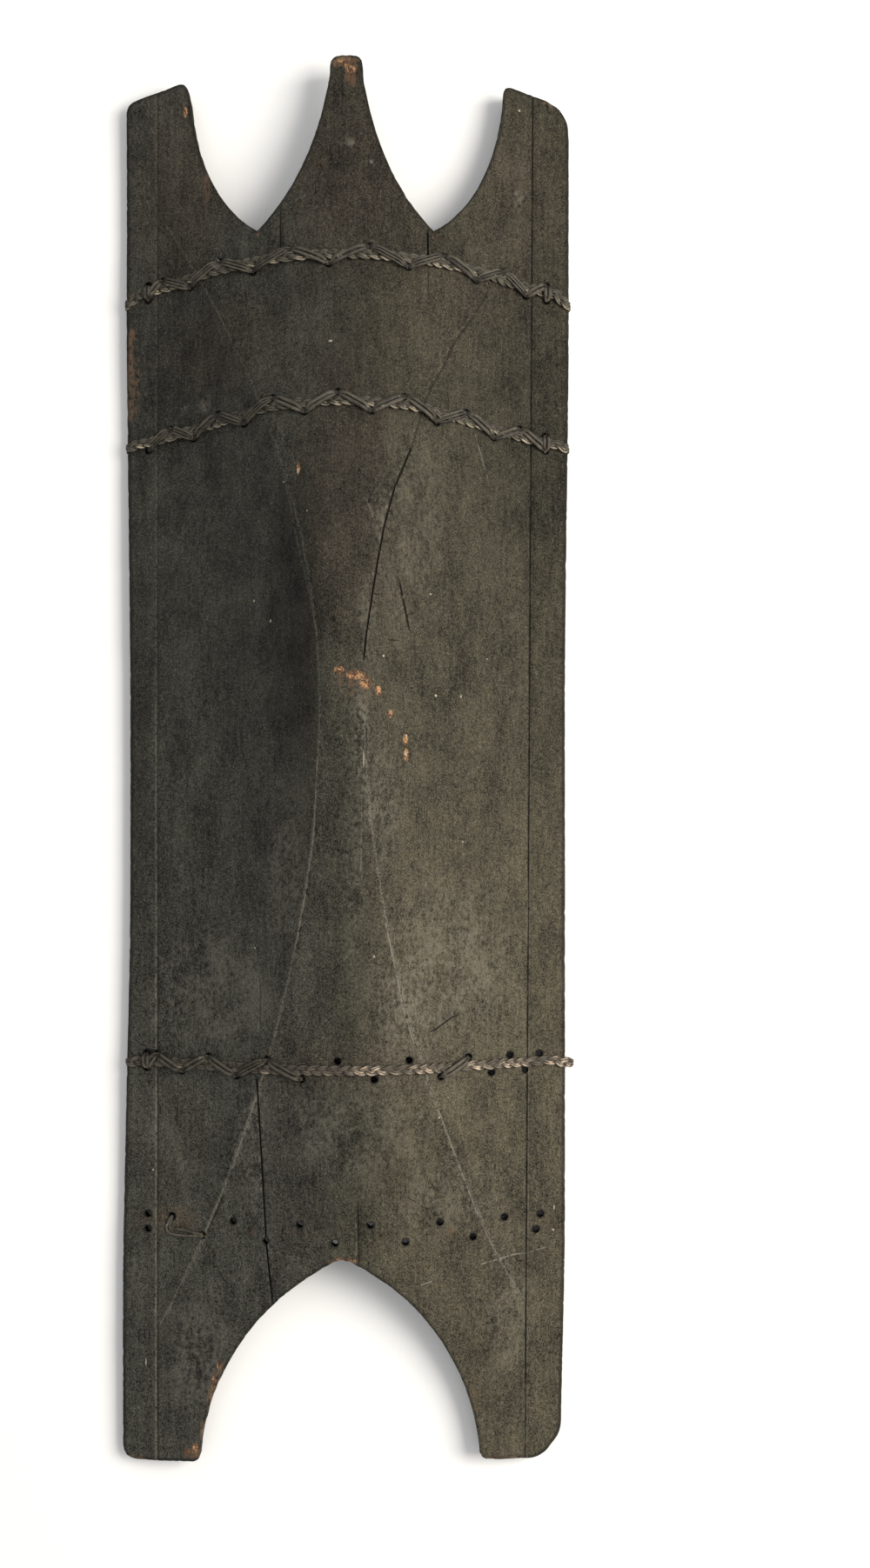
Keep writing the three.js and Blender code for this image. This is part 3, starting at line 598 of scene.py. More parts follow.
@dataclass(frozen=True)
class BlackenedWood:
    """Old wood, blackened with soot and handling, rubbed brown on its edges and high spots, with
    painted light and shade.
    """

    # the first two colours are the same wood with painted shade, for the left, and with painted
    # light, for the right
    shade_side_cool: Colour = (0.0335, 0.0330, 0.0268, 1)
    lit_side_olive: Colour = (0.0408, 0.0360, 0.0240, 1)
    warm: Colour = (0.0410, 0.0338, 0.0245, 1)
    # the dust colour is real dust and also the painted highlight on the groove lip and on the lit
    # side of the cracks
    dust_and_highlight: Colour = (0.165, 0.152, 0.122, 1)
    chip: Colour = (0.330, 0.290, 0.215, 1)
    bare_wood: Colour = (0.390, 0.210, 0.105, 1)
    rubbed_wood: Colour = (0.092, 0.052, 0.031, 1)
    worn_rim: Colour = (0.130, 0.098, 0.066, 1)
    hollow_wood: Colour = (0.060, 0.044, 0.030, 1)
    # the pit colour is real pits and nicks and also painted shade along the rim edge, in the
    # scribed groove and in the holes
    pit_and_shade: Colour = (0.008, 0.007, 0.006, 1)
    roughness: float = 0.68
    sheen: float = 0.16

    def _flecks(self, n: Nodes, tint: Tint, ragged: Wire) -> Wire:
        """1 inside any of the small spots of a tint, with ragged edges."""
        total: object = 0.0
        shrink = 1.0 if tint is Tint.RAW else 0.78
        for fleck in FLECKS[tint]:
            x, y = VIEW.on_board([[fleck.u, fleck.v]])[0]
            offset = n.vector("SUBTRACT", n.place, (x + SHIFT_X, y, 0.0))
            across = 1 / (fleck.across * VIEW.pixel * shrink)
            along = 1 / (fleck.along * VIEW.pixel * shrink)
            reach = n.vector("LENGTH", n.vector("MULTIPLY", offset, (across, along, 0.0)))
            total = n.math("MAXIMUM", total, n.step(reach + ragged, 1.6, 1.3))
        return total

    def material(self, name: str) -> bpy.types.Material:
        """The finish of the board.

        Args:
            name: Name of the material.

        Returns:
            A material that reads the marks painted on the board's mesh.
        """
        n = Nodes(name)
        x, y, _ = n.parts(n.place)
        flange, hip, rim = n.attribute("scribed")
        crack, near_crack, bored = n.attribute("crack")
        scratch, near_scratch, pale_scratch = n.attribute("scratch")
        rubbed, stain, dusty = n.attribute("wear")
        hollow, scar, shade_and_dark = n.attribute("back")
        bright, _, _ = n.attribute("bright")

        broad = n.noise(9.0, (1, 0.5, 1), 5, 0.6)
        cloud = n.noise(48.0, (1, 0.6, 1), 6, 0.62)
        grain = n.noise(420.0, (1, 0.07, 0.4), 5, 0.6)
        coarse = n.noise(330.0, (1, 0.7, 1), 4, 0.62)
        granular = n.noise(980.0, (1, 0.8, 1), 3, 0.65)

        # the blackened ground: painted shade makes it darker and cooler on the left, painted light
        # lighter and browner on the right, and it is lighter towards the bottom
        right = n.step(x, -0.07, 0.05)
        low = n.step(y, 0.22, -0.26)
        # painted light and shade: right blends from the shaded left colour to the lit right colour
        colour = n.blend(self.shade_side_cool, self.lit_side_olive, right)
        colour = n.blend(colour, self.warm, n.math("MINIMUM", stain, 1.0))
        factor = n.varied((broad, 1.2), (cloud, 1.6), (grain, 0.9), (coarse, 1.5), (granular, 4.6))
        factor = n.math("POWER", factor, 1.2) * (low * 0.42 + 0.86)
        # painted shade and darker wood: the colour is darkened by up to 0.55 in the darkening
        # patches
        colour = n.scaled(colour, factor * (1.0 - shade_and_dark * 0.55))
        dusty_share = dusty * n.step(coarse + cloud * 0.6, 0.68, 0.98)
        colour = n.blend(colour, self.dust_and_highlight, dusty_share * 0.62)
        speckle = n.step(granular, 0.62, 0.74) * n.step(cloud, 0.34, 0.6)
        colour = n.blend(colour, self.dust_and_highlight, speckle * 0.6)
        colour = n.blend(colour, self.pit_and_shade, n.step(coarse, 0.36, 0.28) * 0.30)

        # rubbed and chipped places
        worn = rubbed + (cloud - 0.5) * 1.2 + (grain - 0.5) * 2.6 + (coarse - 0.5) * 2.2
        rubbed_share = n.step(worn, 0.40, 0.95) * 0.85 * n.step(rubbed, 0.02, 0.30)
        colour = n.blend(colour, self.rubbed_wood, rubbed_share)
        colour = n.blend(colour, self.bare_wood, n.step(worn, 1.20, 1.55) * 0.7)
        front_only = 1.0 - hollow
        raw = self._flecks(n, Tint.RAW, coarse * 1.3) * n.step(granular, 0.36, 0.5) * front_only
        pale = self._flecks(n, Tint.PALE, coarse * 0.4 + granular) * front_only
        nick = self._flecks(n, Tint.DARK, coarse) * front_only
        raw_colour = n.blend(self.rubbed_wood, self.bare_wood, n.step(coarse, 0.42, 0.56))
        colour = n.blend(colour, raw_colour, raw)
        colour = n.blend(colour, self.chip, pale * n.step(granular, 0.3, 0.45))
        colour = n.blend(colour, self.pit_and_shade, nick * 0.9)

        # the rim with painted shade along its edge, the scribed flange line with painted shade in
        # its groove and a painted highlight on its lip, and the hip line
        # painted shade: a dark line along the rounded rim edge
        colour = n.blend(colour, self.pit_and_shade, n.step(rim, 0.0022, 0.0002) * 0.62)
        bared_rim = n.step(rim, 0.0050, 0.0012) * n.step(rubbed, 0.30, 0.80)
        bared_rim = bared_rim * n.step(coarse, 0.38, 0.56)
        colour = n.blend(colour, self.worn_rim, bared_rim * 0.60)
        broken = n.step(n.noise(70, (1, 0.3, 1), 3), 0.34, 0.56)
        # painted shade: the scribed groove is painted dark, more strongly on the right
        groove = n.line(flange, 0.00035, 0.0005)
        colour = n.blend(colour, self.pit_and_shade, groove * broken * (right * 0.6 + 0.25))
        # painted highlight: a pale line on the lip beside the flange groove
        lip_highlight = n.line(flange - 0.0014, 0.0003, 0.0006) * (low * 0.30 + 0.08)
        colour = n.blend(colour, self.dust_and_highlight, lip_highlight * n.step(coarse, 0.34, 0.56))
        scuffed = hip + (coarse - 0.5) * 0.0035
        hip_broad = n.line(scuffed, 0.0010, 0.0032) * (bright * n.step(coarse, 0.42, 0.60))
        colour = n.blend(colour, self.dust_and_highlight, hip_broad * 0.55)
        hip_fine = n.line(scuffed, 0.0004, 0.0010) * n.step(n.noise(24, (1, 1, 1), 4), 0.24, 0.44)
        hip_fine = hip_fine * n.step(granular, 0.38, 0.56) * (low * 0.30 + 0.22 + bright * 0.5)
        colour = n.blend(colour, self.dust_and_highlight, hip_fine)

        # scratches, cracks with a lit side, the scar of lost lacing, the back, and painted shade in
        # the holes
        scratched = n.line(scratch, 0.00030, 0.0006) * near_scratch
        light = scratched * pale_scratch * n.step(coarse, 0.36, 0.55)
        colour = n.blend(colour, self.dust_and_highlight, light)
        colour = n.blend(colour, self.pit_and_shade, scratched * (1.0 - pale_scratch))
        cracked = n.line(crack, 0.00038, 0.00060) * near_crack
        lit_side = n.line(crack + 0.0016, 0.0002, 0.0009) * near_crack * n.step(coarse, 0.50, 0.66)
        colour = n.blend(colour, self.dust_and_highlight, lit_side * 0.5)
        colour = n.blend(colour, self.pit_and_shade, cracked)
        colour = n.blend(colour, self.rubbed_wood, scar * n.step(grain, 0.46, 0.62))
        colour = n.blend(colour, n.scaled(self.hollow_wood, factor), hollow * 0.7)
        # painted shade: the walls of the lacing holes are painted nearly black
        hole_shade = n.step(bored + (coarse - 0.5) * 0.5, 0.66, 0.92)
        colour = n.blend(colour, self.pit_and_shade, hole_shade * 0.9)

        relief = grain * 0.6 + coarse * 1.3 + granular * 0.9 + cloud * 1.6
        cut = cracked * 2.2 + groove + scratched * 0.8 + n.math("MAXIMUM", raw, pale) * 0.9
        normal = n.bump(relief - cut, 0.0006, 0.9)
        return n.finish(colour, granular * 0.2 + self.roughness, normal, self.sheen)


@dataclass(frozen=True)
class SplitRattan:
    """Flat strands of split rattan, dark with smoke, with pale broken fibres."""

    # the gap colour is painted shade between the strands
    gap: Colour = (0.006, 0.005, 0.004, 1)
    dark: Colour = (0.018, 0.015, 0.011, 1)
    mid: Colour = (0.076, 0.067, 0.050, 1)
    pale: Colour = (0.400, 0.335, 0.240, 1)
    speck: Colour = (0.620, 0.560, 0.430, 1)
    edge_wear: float = 0.35

    def material(self, name: str) -> bpy.types.Material:
        """The finish of a lashing.

        Args:
            name: Name of the material.

        Returns:
            A material whose fibres follow the strands through the attribute lay.
        """
        n = Nodes(name)
        along, across, tone = n.attribute("lay")
        fibre_place = n.joined(along * 0.10, across * 0.0015, tone)
        fibres = n.noise(2600.0, (1, 1, 0.01), 4, 0.6, fibre_place)
        patches = n.noise(170.0, (1, 1, 1), 4, 0.6)
        specks = n.noise(560.0, (1, 1, 1), 2, 0.5)
        patchy = fibres * 0.75 + patches * 0.55
        level = patchy + n.math("MINIMUM", tone, 1.2) * 0.26
        colour = n.blend(self.dark, self.mid, n.step(level, 0.52, 0.92))
        off_middle = n.math("ABSOLUTE", across)
        bared = n.step(tone, 0.80, 1.70) * n.step(patchy, 0.55, 0.76)
        bared = bared * n.step(off_middle, 0.95, 0.35)
        colour = n.blend(colour, self.pale, bared * 0.90)
        lower_edge = n.step(n.facing((0, -1, 0)), 0.35, 0.80) * n.step(patches, 0.42, 0.6)
        lower_edge = lower_edge * self.edge_wear
        colour = n.blend(colour, self.pale, lower_edge)
        colour = n.blend(colour, self.speck, n.step(specks, 0.70, 0.76) * 0.75)
        # painted shade: the edges of each strand are darkened toward the gap colour
        crease_shade = n.step(off_middle, 0.55, 0.92) * 0.92
        colour = n.blend(colour, self.gap, crease_shade * (1.0 - lower_edge))
        normal = n.bump(fibres + patches * 0.5, 0.00035, 0.8)
        return n.finish(colour, 0.6, normal, 0.25)


@dataclass
class MeshParts:
    """Vertices, faces and attributes of a mesh that is put together from arrays."""

    points: list[Array] = field(default_factory=list)
    faces: list[Array] = field(default_factory=list)
    lay: list[Array] = field(default_factory=list)
    total: int = 0

    def add(self, points: Array, faces: list[Array], lay: Array) -> None:
        """Add a shell.

        Args:
            points: Its vertices, n by 3.
            faces: Arrays of faces that count from the shell's own first vertex.
            lay: An n by 3 attribute: along, across and tone.
        """
        self.points.append(points)
        self.faces += [block + self.total for block in faces]
        self.lay.append(lay)
        self.total += len(points)


def store(mesh: bpy.types.Mesh, name: str, values: Array) -> None:
    """Store an n by 3 array as a vector attribute of the vertices."""
    layer = mesh.attributes.new(name, "FLOAT_VECTOR", "POINT")
    layer.data.foreach_set("vector", np.ascontiguousarray(values, dtype=np.float32).ravel())


def make_piece(
    name: str, points: Array, faces: list[Array], material: bpy.types.Material
) -> bpy.types.Object:
    """Make a smooth shaded object from arrays, at its place in the shield.

    Args:
        name: Name of the piece.
        points: Vertices in the board's own frame, n by 3.
        faces: Arrays of faces, each with one number of corners.
        material: The finish.

    Returns:
        The object, riding on the body root.
    """
    mesh = bpy.data.meshes.new(name)
    placed = points + np.array([SHIFT_X, 0.0, 0.0])
    corners = np.concatenate([block.ravel() for block in faces])
    sizes = np.concatenate([np.full(len(block), block.shape[1]) for block in faces])
    mesh.vertices.add(len(placed))
    mesh.vertices.foreach_set("co", placed.astype(np.float32).ravel())
    mesh.loops.add(len(corners))
    mesh.loops.foreach_set("vertex_index", corners.astype(np.int32))
    mesh.polygons.add(len(sizes))
    mesh.polygons.foreach_set("loop_start", (np.cumsum(sizes) - sizes).astype(np.int32))
    mesh.update(calc_edges=True)
    mesh.validate()
    mesh.shade_smooth()
    mesh.set_sharp_from_angle(angle=np.radians(SHARP_DEGREES))
    mesh.materials.append(material)
    piece = bpy.data.objects.new(name, mesh)
    bpy.context.scene.collection.objects.link(piece)
    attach(piece, "root")
    return piece


def bezier(a: tuple, b: tuple, c: tuple, d: tuple, count: int = 60) -> Array:
    """Cubic curve from a to d pulled by b and c, as count points."""
    t = np.linspace(0.0, 1.0, count)[:, None]
    s = 1.0 - t
    a, b, c, d = (np.array(p) for p in (a, b, c, d))
    return s**3 * a + 3 * s * s * t * b + 3 * s * t * t * c + t**3 * d


def rounded(before: tuple, corner: tuple, after: tuple, size: float, count: int = 9) -> Array:
    """A corner rounded by a parabola that starts and ends at size from it."""
    before, corner, after = (np.array(p, dtype=float) for p in (before, corner, after))
    start = corner + (before - corner) * size / np.linalg.norm(before - corner)
    end = corner + (after - corner) * size / np.linalg.norm(after - corner)
    t = np.linspace(0.0, 1.0, count)[:, None]
    return (1 - t) ** 2 * start + 2 * t * (1 - t) * corner + t * t * end


def halved(path: Array) -> tuple[Array, Array]:
    """Cut a path in two at its middle point."""
    cut = (len(path) - 1) // 2
    return path[: cut + 1], path[cut:]


def unit(vectors: Array) -> Array:
    """Vectors brought to length 1, one in each row."""
    return vectors / np.linalg.norm(vectors, axis=-1, keepdims=True)


def way_along(path: Array) -> Array:
    """Way from the start of a path to each of its points."""
    return np.concatenate([[0], np.cumsum(np.linalg.norm(np.diff(path, axis=0), axis=1))])


def border_edges(quads: Array) -> Array:
    """Edges that belong to one cell only, in the direction that the cell gives them."""
    edges = np.concatenate([np.roll(quads, -k, axis=1)[:, :2] for k in range(4)])
    _, inverse, times = np.unique(
        np.sort(edges, axis=1), axis=0, return_inverse=True, return_counts=True
    )
    return edges[times[inverse.reshape(-1)] == 1]


def strip(high: Array, low: Array) -> Array:
    """Faces between two runs of the same edges, one above the other."""
    return np.column_stack([high[:, ::-1], low])


@dataclass(frozen=True)
class Prong:
    """A block of the board past its body: two side edges and the edge across its end.

    left and right are paths from the body outwards, whose y runs one way. end is a path from
    the end of left to the end of right, whose x runs one way.
    """

    left: Array
    right: Array
    end: Array
    first_column: int
    last_column: int
    rows: int
    bunching: float


@dataclass(frozen=True)
class Outline:
    """The prongs and the legs, seen from the front."""

    form: ShieldForm = FORM
    notch_depth: float = 0.143
    valley_reach: float = 0.068
    horn_low_pull: tuple[float, float] = (0.030, 0.18)
    horn_high_pull: tuple[float, float] = (-0.005, 0.55)
    spike_low_pull: tuple[float, float] = (-0.0235, 0.22)
    spike_high_pull: tuple[float, float] = (0.0095, 0.56)
    horn_below_top: float = 0.018
    horn_slant: float = 0.011
    horn_width: float = 0.053
    horn_shoulder_drop: float = 0.015
    horn_corner_drop: float = 0.045
    left_peak_height: float = 0.003
    left_peak_inset: float = 0.004
    right_horn_wear: tuple[float, float] = (0.011, 0.026)
    spike_tip_width: float = 0.026
    spike_tip_length: float = 0.015
    spike_rounding: float = 0.0095
    arch_rise: float = 0.162
    arch_apex_x: float = -0.0029
    apex_rounding: float = 0.006
    apex_blend: float = 0.022
    arch_foot_pull: tuple[float, float] = (0.09, 0.53)
    left_arch_pull: tuple[float, float] = (0.63, 0.9)
    right_arch_pull: tuple[float, float] = (0.58, 0.9)
    left_leg_width: float = 0.0633
    right_leg_width: float = 0.0649
    right_sole_height: float = 0.0015
    right_foot_wear: tuple[float, float] = (0.016, 0.022)
    foot_rounding: float = 0.012
    corner_rounding: float = 0.0085

    @property
    def valley_y(self) -> float:
        """Height of the two valleys between the prongs."""
        return self.form.top - self.notch_depth

    @property
    def shoulder_y(self) -> float:
        """Height of the inner shoulders of the horns."""
        return self.form.top - self.horn_below_top - self.horn_shoulder_drop

    @property
    def apex_y(self) -> float:
        """Height of the point of the arch."""
        return self.form.foot + self.arch_rise

    def side(self, side: int, start: float, end: float) -> Array:
        """The side of the board between two heights."""
        y = np.linspace(start, end, 60)
        return np.stack([side * self.form.side_reach(side, y), y], axis=1)

    def valley_side(self, side: int, reach: float, end: float, low: tuple, high: tuple) -> Array:
        """An edge from a valley upwards: a cubic curve pulled by two points.

        Args:
            side: -1 on the left and 1 on the right.
            reach: Distance of its upper end from the middle.
            end: Height of its upper end.
            low: Pull beside the valley: how far outwards, and its share of the horn's rise.
            high: Pull beside the upper end, given in the same way.

        Returns:
            The points of the edge.
        """
        rise = self.shoulder_y - self.valley_y
        return bezier(
            (side * self.valley_reach, self.valley_y),
            (side * (self.valley_reach + low[0]), self.valley_y + low[1] * rise),
            (side * (reach + high[0]), self.valley_y + high[1] * rise),
            (side * reach, end),
        )

    def notch(self, side: int) -> Array:
        """The inner edge of a horn, from the valley up to its shoulder."""
        inner = self.form.half - self.horn_width
        pulls = (self.horn_low_pull, self.horn_high_pull)
        return self.valley_side(side, inner, self.shoulder_y, *pulls)

    def spike_side(self, side: int) -> Array:
        """The edge of the spike, from the valley up to its neck."""
        neck = self.form.top - self.spike_tip_length
        pulls = (self.spike_low_pull, self.spike_high_pull)
        return self.valley_side(side, self.spike_tip_width / 2, neck, *pulls)

    def left_horn(self, columns: tuple[int, int], rows: int) -> Prong:
        """The left horn, with a slanted top."""
        form = self.form
        top = form.top - self.horn_below_top
        inner = form.half - self.horn_width
        peak = (-inner - self.left_peak_inset, top + self.left_peak_height)
        crown = (-form.half, top - self.horn_slant)
        brow = (-form.half, top - self.horn_corner_drop)
        shoulder = (-inner, self.shoulder_y)
        outer_low, outer_high = halved(rounded(brow, crown, peak, self.corner_rounding))
        inner_high, inner_low = halved(rounded(crown, peak, shoulder, self.corner_rounding))
        left = np.concatenate([self.side(-1, self.valley_y, brow[1]), outer_low])
        right = np.concatenate([self.notch(-1), inner_low[::-1]])
        return Prong(left, right, np.concatenate([outer_high, inner_high]), *columns, rows, 1.0)

    def right_horn(self, columns: tuple[int, int], rows: int) -> Prong:
        """The right horn, with its outer corner worn off."""
        form = self.form
        top = form.top - self.horn_below_top
        inner = form.half - self.horn_width
        peak = (inner, top)
        crown = (form.half - self.right_horn_wear[0], top - self.horn_slant)
        brow = (form.half, top - self.right_horn_wear[1])
        side_end = (form.half, top - self.horn_corner_drop)
        shoulder = (inner, self.shoulder_y)
        inner_low, inner_high = halved(rounded(shoulder, peak, crown, self.corner_rounding))
        left = np.concatenate([self.notch(1), inner_low])
        outer = rounded(side_end, brow, crown, self.corner_rounding)
        right = np.concatenate([self.side(1, self.valley_y, side_end[1]), outer])
        crown_end = rounded(peak, crown, brow, self.corner_rounding)
        end = np.concatenate([inner_high, crown_end, right[-1:]])
        return Prong(left, right, end, *columns, rows, 1.0)

    def spike(self, columns: tuple[int, int], rows: int) -> Prong:
        """The middle spike, with a blunt rounded tip."""
        half = self.spike_tip_width / 2
        neck = self.form.top - self.spike_tip_length
        tip = (0.0, self.form.top)
        corner = rounded((half, neck), (half, self.form.top), tip, self.spike_rounding)
        low, high = halved(corner)
        flip = np.array([-1.0, 1.0])
        left = np.concatenate([self.spike_side(-1), low * flip])
        right = np.concatenate([self.spike_side(1), low])
        end = np.concatenate([high * flip, [tip], high[::-1]])
        return Prong(left, right, end, *columns, rows, 1.0)

    def arch_side(self, toe: tuple[float, float], pull: tuple[float, float]) -> Array:
        """One side of the arch, from its point down to a toe.

        The point is made round by a parabola, and what that adds fades by a smooth step.
        """
        apex = (self.arch_apex_x, self.apex_y)
        foot_pull = tuple(mix(t, a, s) for t, a, s in zip(toe, apex, self.arch_foot_pull))
        apex_pull = tuple(mix(t, a, s) for t, a, s in zip(toe, apex, pull))
        path = bezier(apex, apex_pull, foot_pull, toe, 400)
        slope = (apex[1] - apex_pull[1]) / abs(apex[0] - apex_pull[0])
        aside = np.abs(path[:, 0] - apex[0])
        near = np.minimum(aside, self.apex_rounding)
        fill = slope * near * (1.0 - near / (2.0 * self.apex_rounding))
        path[:, 1] += fill * (1.0 - smooth((aside - self.apex_rounding) / self.apex_blend))
        return path

    def left_leg(self, columns: tuple[int, int], rows: int) -> Prong:
        """The left leg, which flares outwards to its foot."""
        foot = self.form.foot
        outer = -float(self.form.side_reach(-1, foot))
        toe = (outer + self.left_leg_width, foot)
        heel = (outer, foot)
        ankle = (toe[0], foot + self.foot_rounding)
        outer_low, outer_high = halved(rounded((outer, 0.0), heel, toe, self.foot_rounding))
        inner_high, inner_low = halved(rounded(heel, toe, ankle, self.corner_rounding))
        left = np.concatenate([self.side(-1, self.apex_y, foot + self.foot_rounding), outer_low])
        right = np.concatenate([self.arch_side(ankle, self.left_arch_pull), inner_low[::-1]])
        return Prong(left, right, np.concatenate([outer_high, inner_high]), *columns, rows, 2.0)

    def right_leg(self, columns: tuple[int, int], rows: int) -> Prong:
        """The right leg, whose outer heel is worn off."""
        foot = self.form.foot
        outer = float(self.form.side_reach(1, foot))
        sole = foot + self.right_sole_height
        toe = (outer - self.right_leg_width, sole)
        heel = (outer - self.right_foot_wear[0], sole)
        ankle = (outer, foot + self.right_foot_wear[1])
        start = (toe[0], foot + self.foot_rounding)
        inner_low, inner_high = halved(rounded(start, toe, heel, self.corner_rounding))
        left = np.concatenate([self.arch_side(start, self.right_arch_pull), inner_low])
        outer_end = rounded((outer, 0.0), ankle, heel, self.corner_rounding)
        outer_low = self.side(1, self.apex_y, ankle[1] + self.corner_rounding)
        right = np.concatenate([outer_low, outer_end])
        heel_end = rounded(toe, heel, ankle, self.foot_rounding)
        end = np.concatenate([inner_high, heel_end, right[-1:]])
        return Prong(left, right, end, *columns, rows, 2.0)


@dataclass(frozen=True)
class Mark:
    """A crack or scratch: a path in picture places, its strength, and how pale it is.

    A crack no stronger than FAINT is a line only and has no depth.
    """

    path: tuple[tuple[float, float], ...]
    strength: float = 1.0
    pale: float = 0.0

    def on_board(self) -> Array:
        """The path on the board."""
        return VIEW.on_board(self.path)


FAINT = 0.5
CRACKS = (
    Mark(((491.5, 268), (491.8, 296)), 1.0),
    Mark(((491.8, 308), (491.6, 336)), 0.3),
    Mark(((322, 244), (322, 292)), 0.7),
    Mark(
        ((560, 336), (543, 366), (519.5, 397.5), (511, 419.5), (498, 441), (487, 465), (478, 497),
         (472, 516)),
        0.42
    ),
    Mark(
        ((472, 516), (453.3, 560), (442, 602), (434, 644), (428, 681), (421, 728), (418, 757)), 0.9
    ),
    Mark(((295, 1240), (298, 1290), (302, 1360), (306, 1430), (313, 1496)), 0.95),
    Mark(((411, 1385), (412, 1452)), 0.6),
    Mark(((255, 1378), (238, 1416)), 0.6),
    Mark(((459, 669), (462, 684), (466, 703), (470, 723)), 0.75),
    Mark(((299, 1130), (299, 1190)), 0.3),
)
SCRATCHES = (
    Mark(((546, 498), (552, 520), (560, 548)), 1.0, 0.7),
    Mark(((522, 1168), (497, 1186)), 1.0, 0.0),
    Mark(((552, 1454), (575, 1447), (596, 1441)), 1.0, 1.0),
    Mark(((607, 1440), (631, 1433)), 1.0, 0.9),
    Mark(((482, 1478), (498, 1473)), 1.0, 1.0),
    Mark(((248, 352), (290, 436), (312, 500)), 0.8, 0.4),
    Mark(((205, 1330), (262, 1296)), 0.6, 0.4),
    Mark(((422, 575), (434, 606)), 0.8, 0.7),
    Mark(((417, 895), (415, 1000)), 0.5, 0.8),
    Mark(((443, 1060), (455, 1115), (464, 1160), (477, 1203)), 1.0, 0.95),
    Mark(((328, 552), (342, 624), (357, 688), (365, 730)), 0.7, 0.5),
    Mark(((365, 870), (361, 960), (352, 1026), (341, 1085)), 1.0, 0.8),
    Mark(
        ((489, 1243), (508, 1286), (527, 1338), (546, 1388), (561, 1423), (584, 1464), (603, 1494)),
        1.0, 0.85
    ),
    Mark(((234, 1421), (205, 1483), (182, 1528)), 0.9, 0.7),
)


def nearest_mark(points: Array, marks: tuple[Mark, ...], reach: float = 0.0045) -> Array:
    """Distance from the nearest mark, for each point of the board.

    For each straight piece of each mark it is the distance to that piece, with its sign from
    the side on which the point lies.

    Args:
        points: Board places, n by 2.
        marks: The marks.
        reach: Distance within which a point counts as near.

    Returns:
        An n by 3 array: signed distance, nearness times strength, and paleness.
    """
    best = np.full(len(points), 1.0)
    result = np.zeros((len(points), 3))
    result[:, 0] = 1.0
    for mark in marks:
        path = mark.on_board()
        for a, b in zip(path[:-1], path[1:]):
            way = b - a
            share = np.clip((points - a) @ way / (way @ way), 0.0, 1.0)
            gap = points - (a + share[:, None] * way)
            distance = np.hypot(gap[:, 0], gap[:, 1])
            side = np.sign(way[0] * gap[:, 1] - way[1] * gap[:, 0])
            closer = distance < best
            near = smooth((reach - distance) / (0.3 * reach)) * mark.strength
            best = np.where(closer, distance, best)
            found = np.stack([distance * side, near, np.full(len(points), mark.pale)], axis=1)
            result = np.where(closer[:, None], found, result)
    return result


@dataclass(frozen=True)
class Patch:
    """A soft patch: a picture place, half sizes in pixels, and its strength.

    A dent's strength is its depth in metres.
    """

    u: float
    v: float
    across: float
    along: float
    strength: float

    def share(self, points: Array) -> Array:
        """1 times strength at the middle, falling smoothly to 0 at the half sizes."""
        x, y = VIEW.on_board([[self.u, self.v]])[0]
        along = (points[:, 1] - y) / (self.along * VIEW.pixel)
        across = (points[:, 0] - x) / (self.across * VIEW.pixel)
        return self.strength * smooth(1.35 * (1.0 - np.hypot(across, along)))


RUBBED = (
    Patch(154, 430, 16, 80, 0.55), Patch(152, 392, 10, 30, 0.62), Patch(151, 470, 9, 34, 0.58),
    Patch(398, 72, 24, 12, 1.25), Patch(404, 88, 12, 18, 0.9), Patch(634, 119, 14, 9, 1.0),
    Patch(395, 1452, 24, 8, 1.05), Patch(249, 1588, 6, 24, 1.0), Patch(243, 1612, 8, 30, 1.1),
    Patch(235, 1648, 8, 26, 1.1),
    Patch(222, 1670, 24, 8, 1.2), Patch(563, 1677, 16, 6, 1.1), Patch(404, 780, 32, 30, 0.32),
    Patch(424, 800, 22, 36, 0.30), Patch(546, 1600, 5, 60, 0.45), Patch(153, 1676, 20, 6, 0.8),
    Patch(590, 1677, 30, 5, 0.8), Patch(254, 1571, 5, 13, 0.85), Patch(500, 272, 8, 5, 0.7),
    Patch(296, 271, 10, 5, 0.6), Patch(150, 340, 5, 14, 0.6), Patch(238, 215, 5, 40, 0.55),
)
STAINS = (
    Patch(400, 200, 100, 170, 0.95), Patch(200, 1402, 44, 24, 1.0), Patch(400, 560, 70, 260, 0.9),
    Patch(520, 330, 150, 90, 0.55), Patch(200, 1310, 60, 80, 0.3), Patch(210, 220, 80, 150, 0.85),
    Patch(400, 1225, 150, 40, 0.6), Patch(600, 250, 70, 180, 0.5), Patch(260, 400, 120, 90, 0.5),
)
DUSTY = (
    Patch(593, 230, 14, 16, 0.75), Patch(235, 466, 9, 10, 0.9), Patch(212, 468, 7, 7, 0.7),
    Patch(415, 850, 12, 100, 0.8), Patch(407, 1000, 18, 170, 0.35), Patch(520, 1110, 100, 130, 0.5),
    Patch(470, 1150, 60, 90, 0.75), Patch(290, 1300, 26, 120, 0.4), Patch(470, 600, 50, 160, 0.25),
    Patch(230, 1560, 50, 90, 0.45), Patch(585, 1520, 40, 130, 0.35), Patch(440, 590, 16, 60, 0.5),
    Patch(410, 1300, 110, 80, 0.35), Patch(420, 700, 12, 50, 0.5), Patch(240, 1140, 90, 90, 0.4),
    Patch(402, 165, 9, 7, 1.0), Patch(427, 186, 8, 6, 0.9), Patch(344, 229, 5, 4, 0.8),
    Patch(330, 1010, 30, 120, 0.35), Patch(510, 1380, 90, 60, 0.35), Patch(440, 930, 30, 90, 0.4),
)
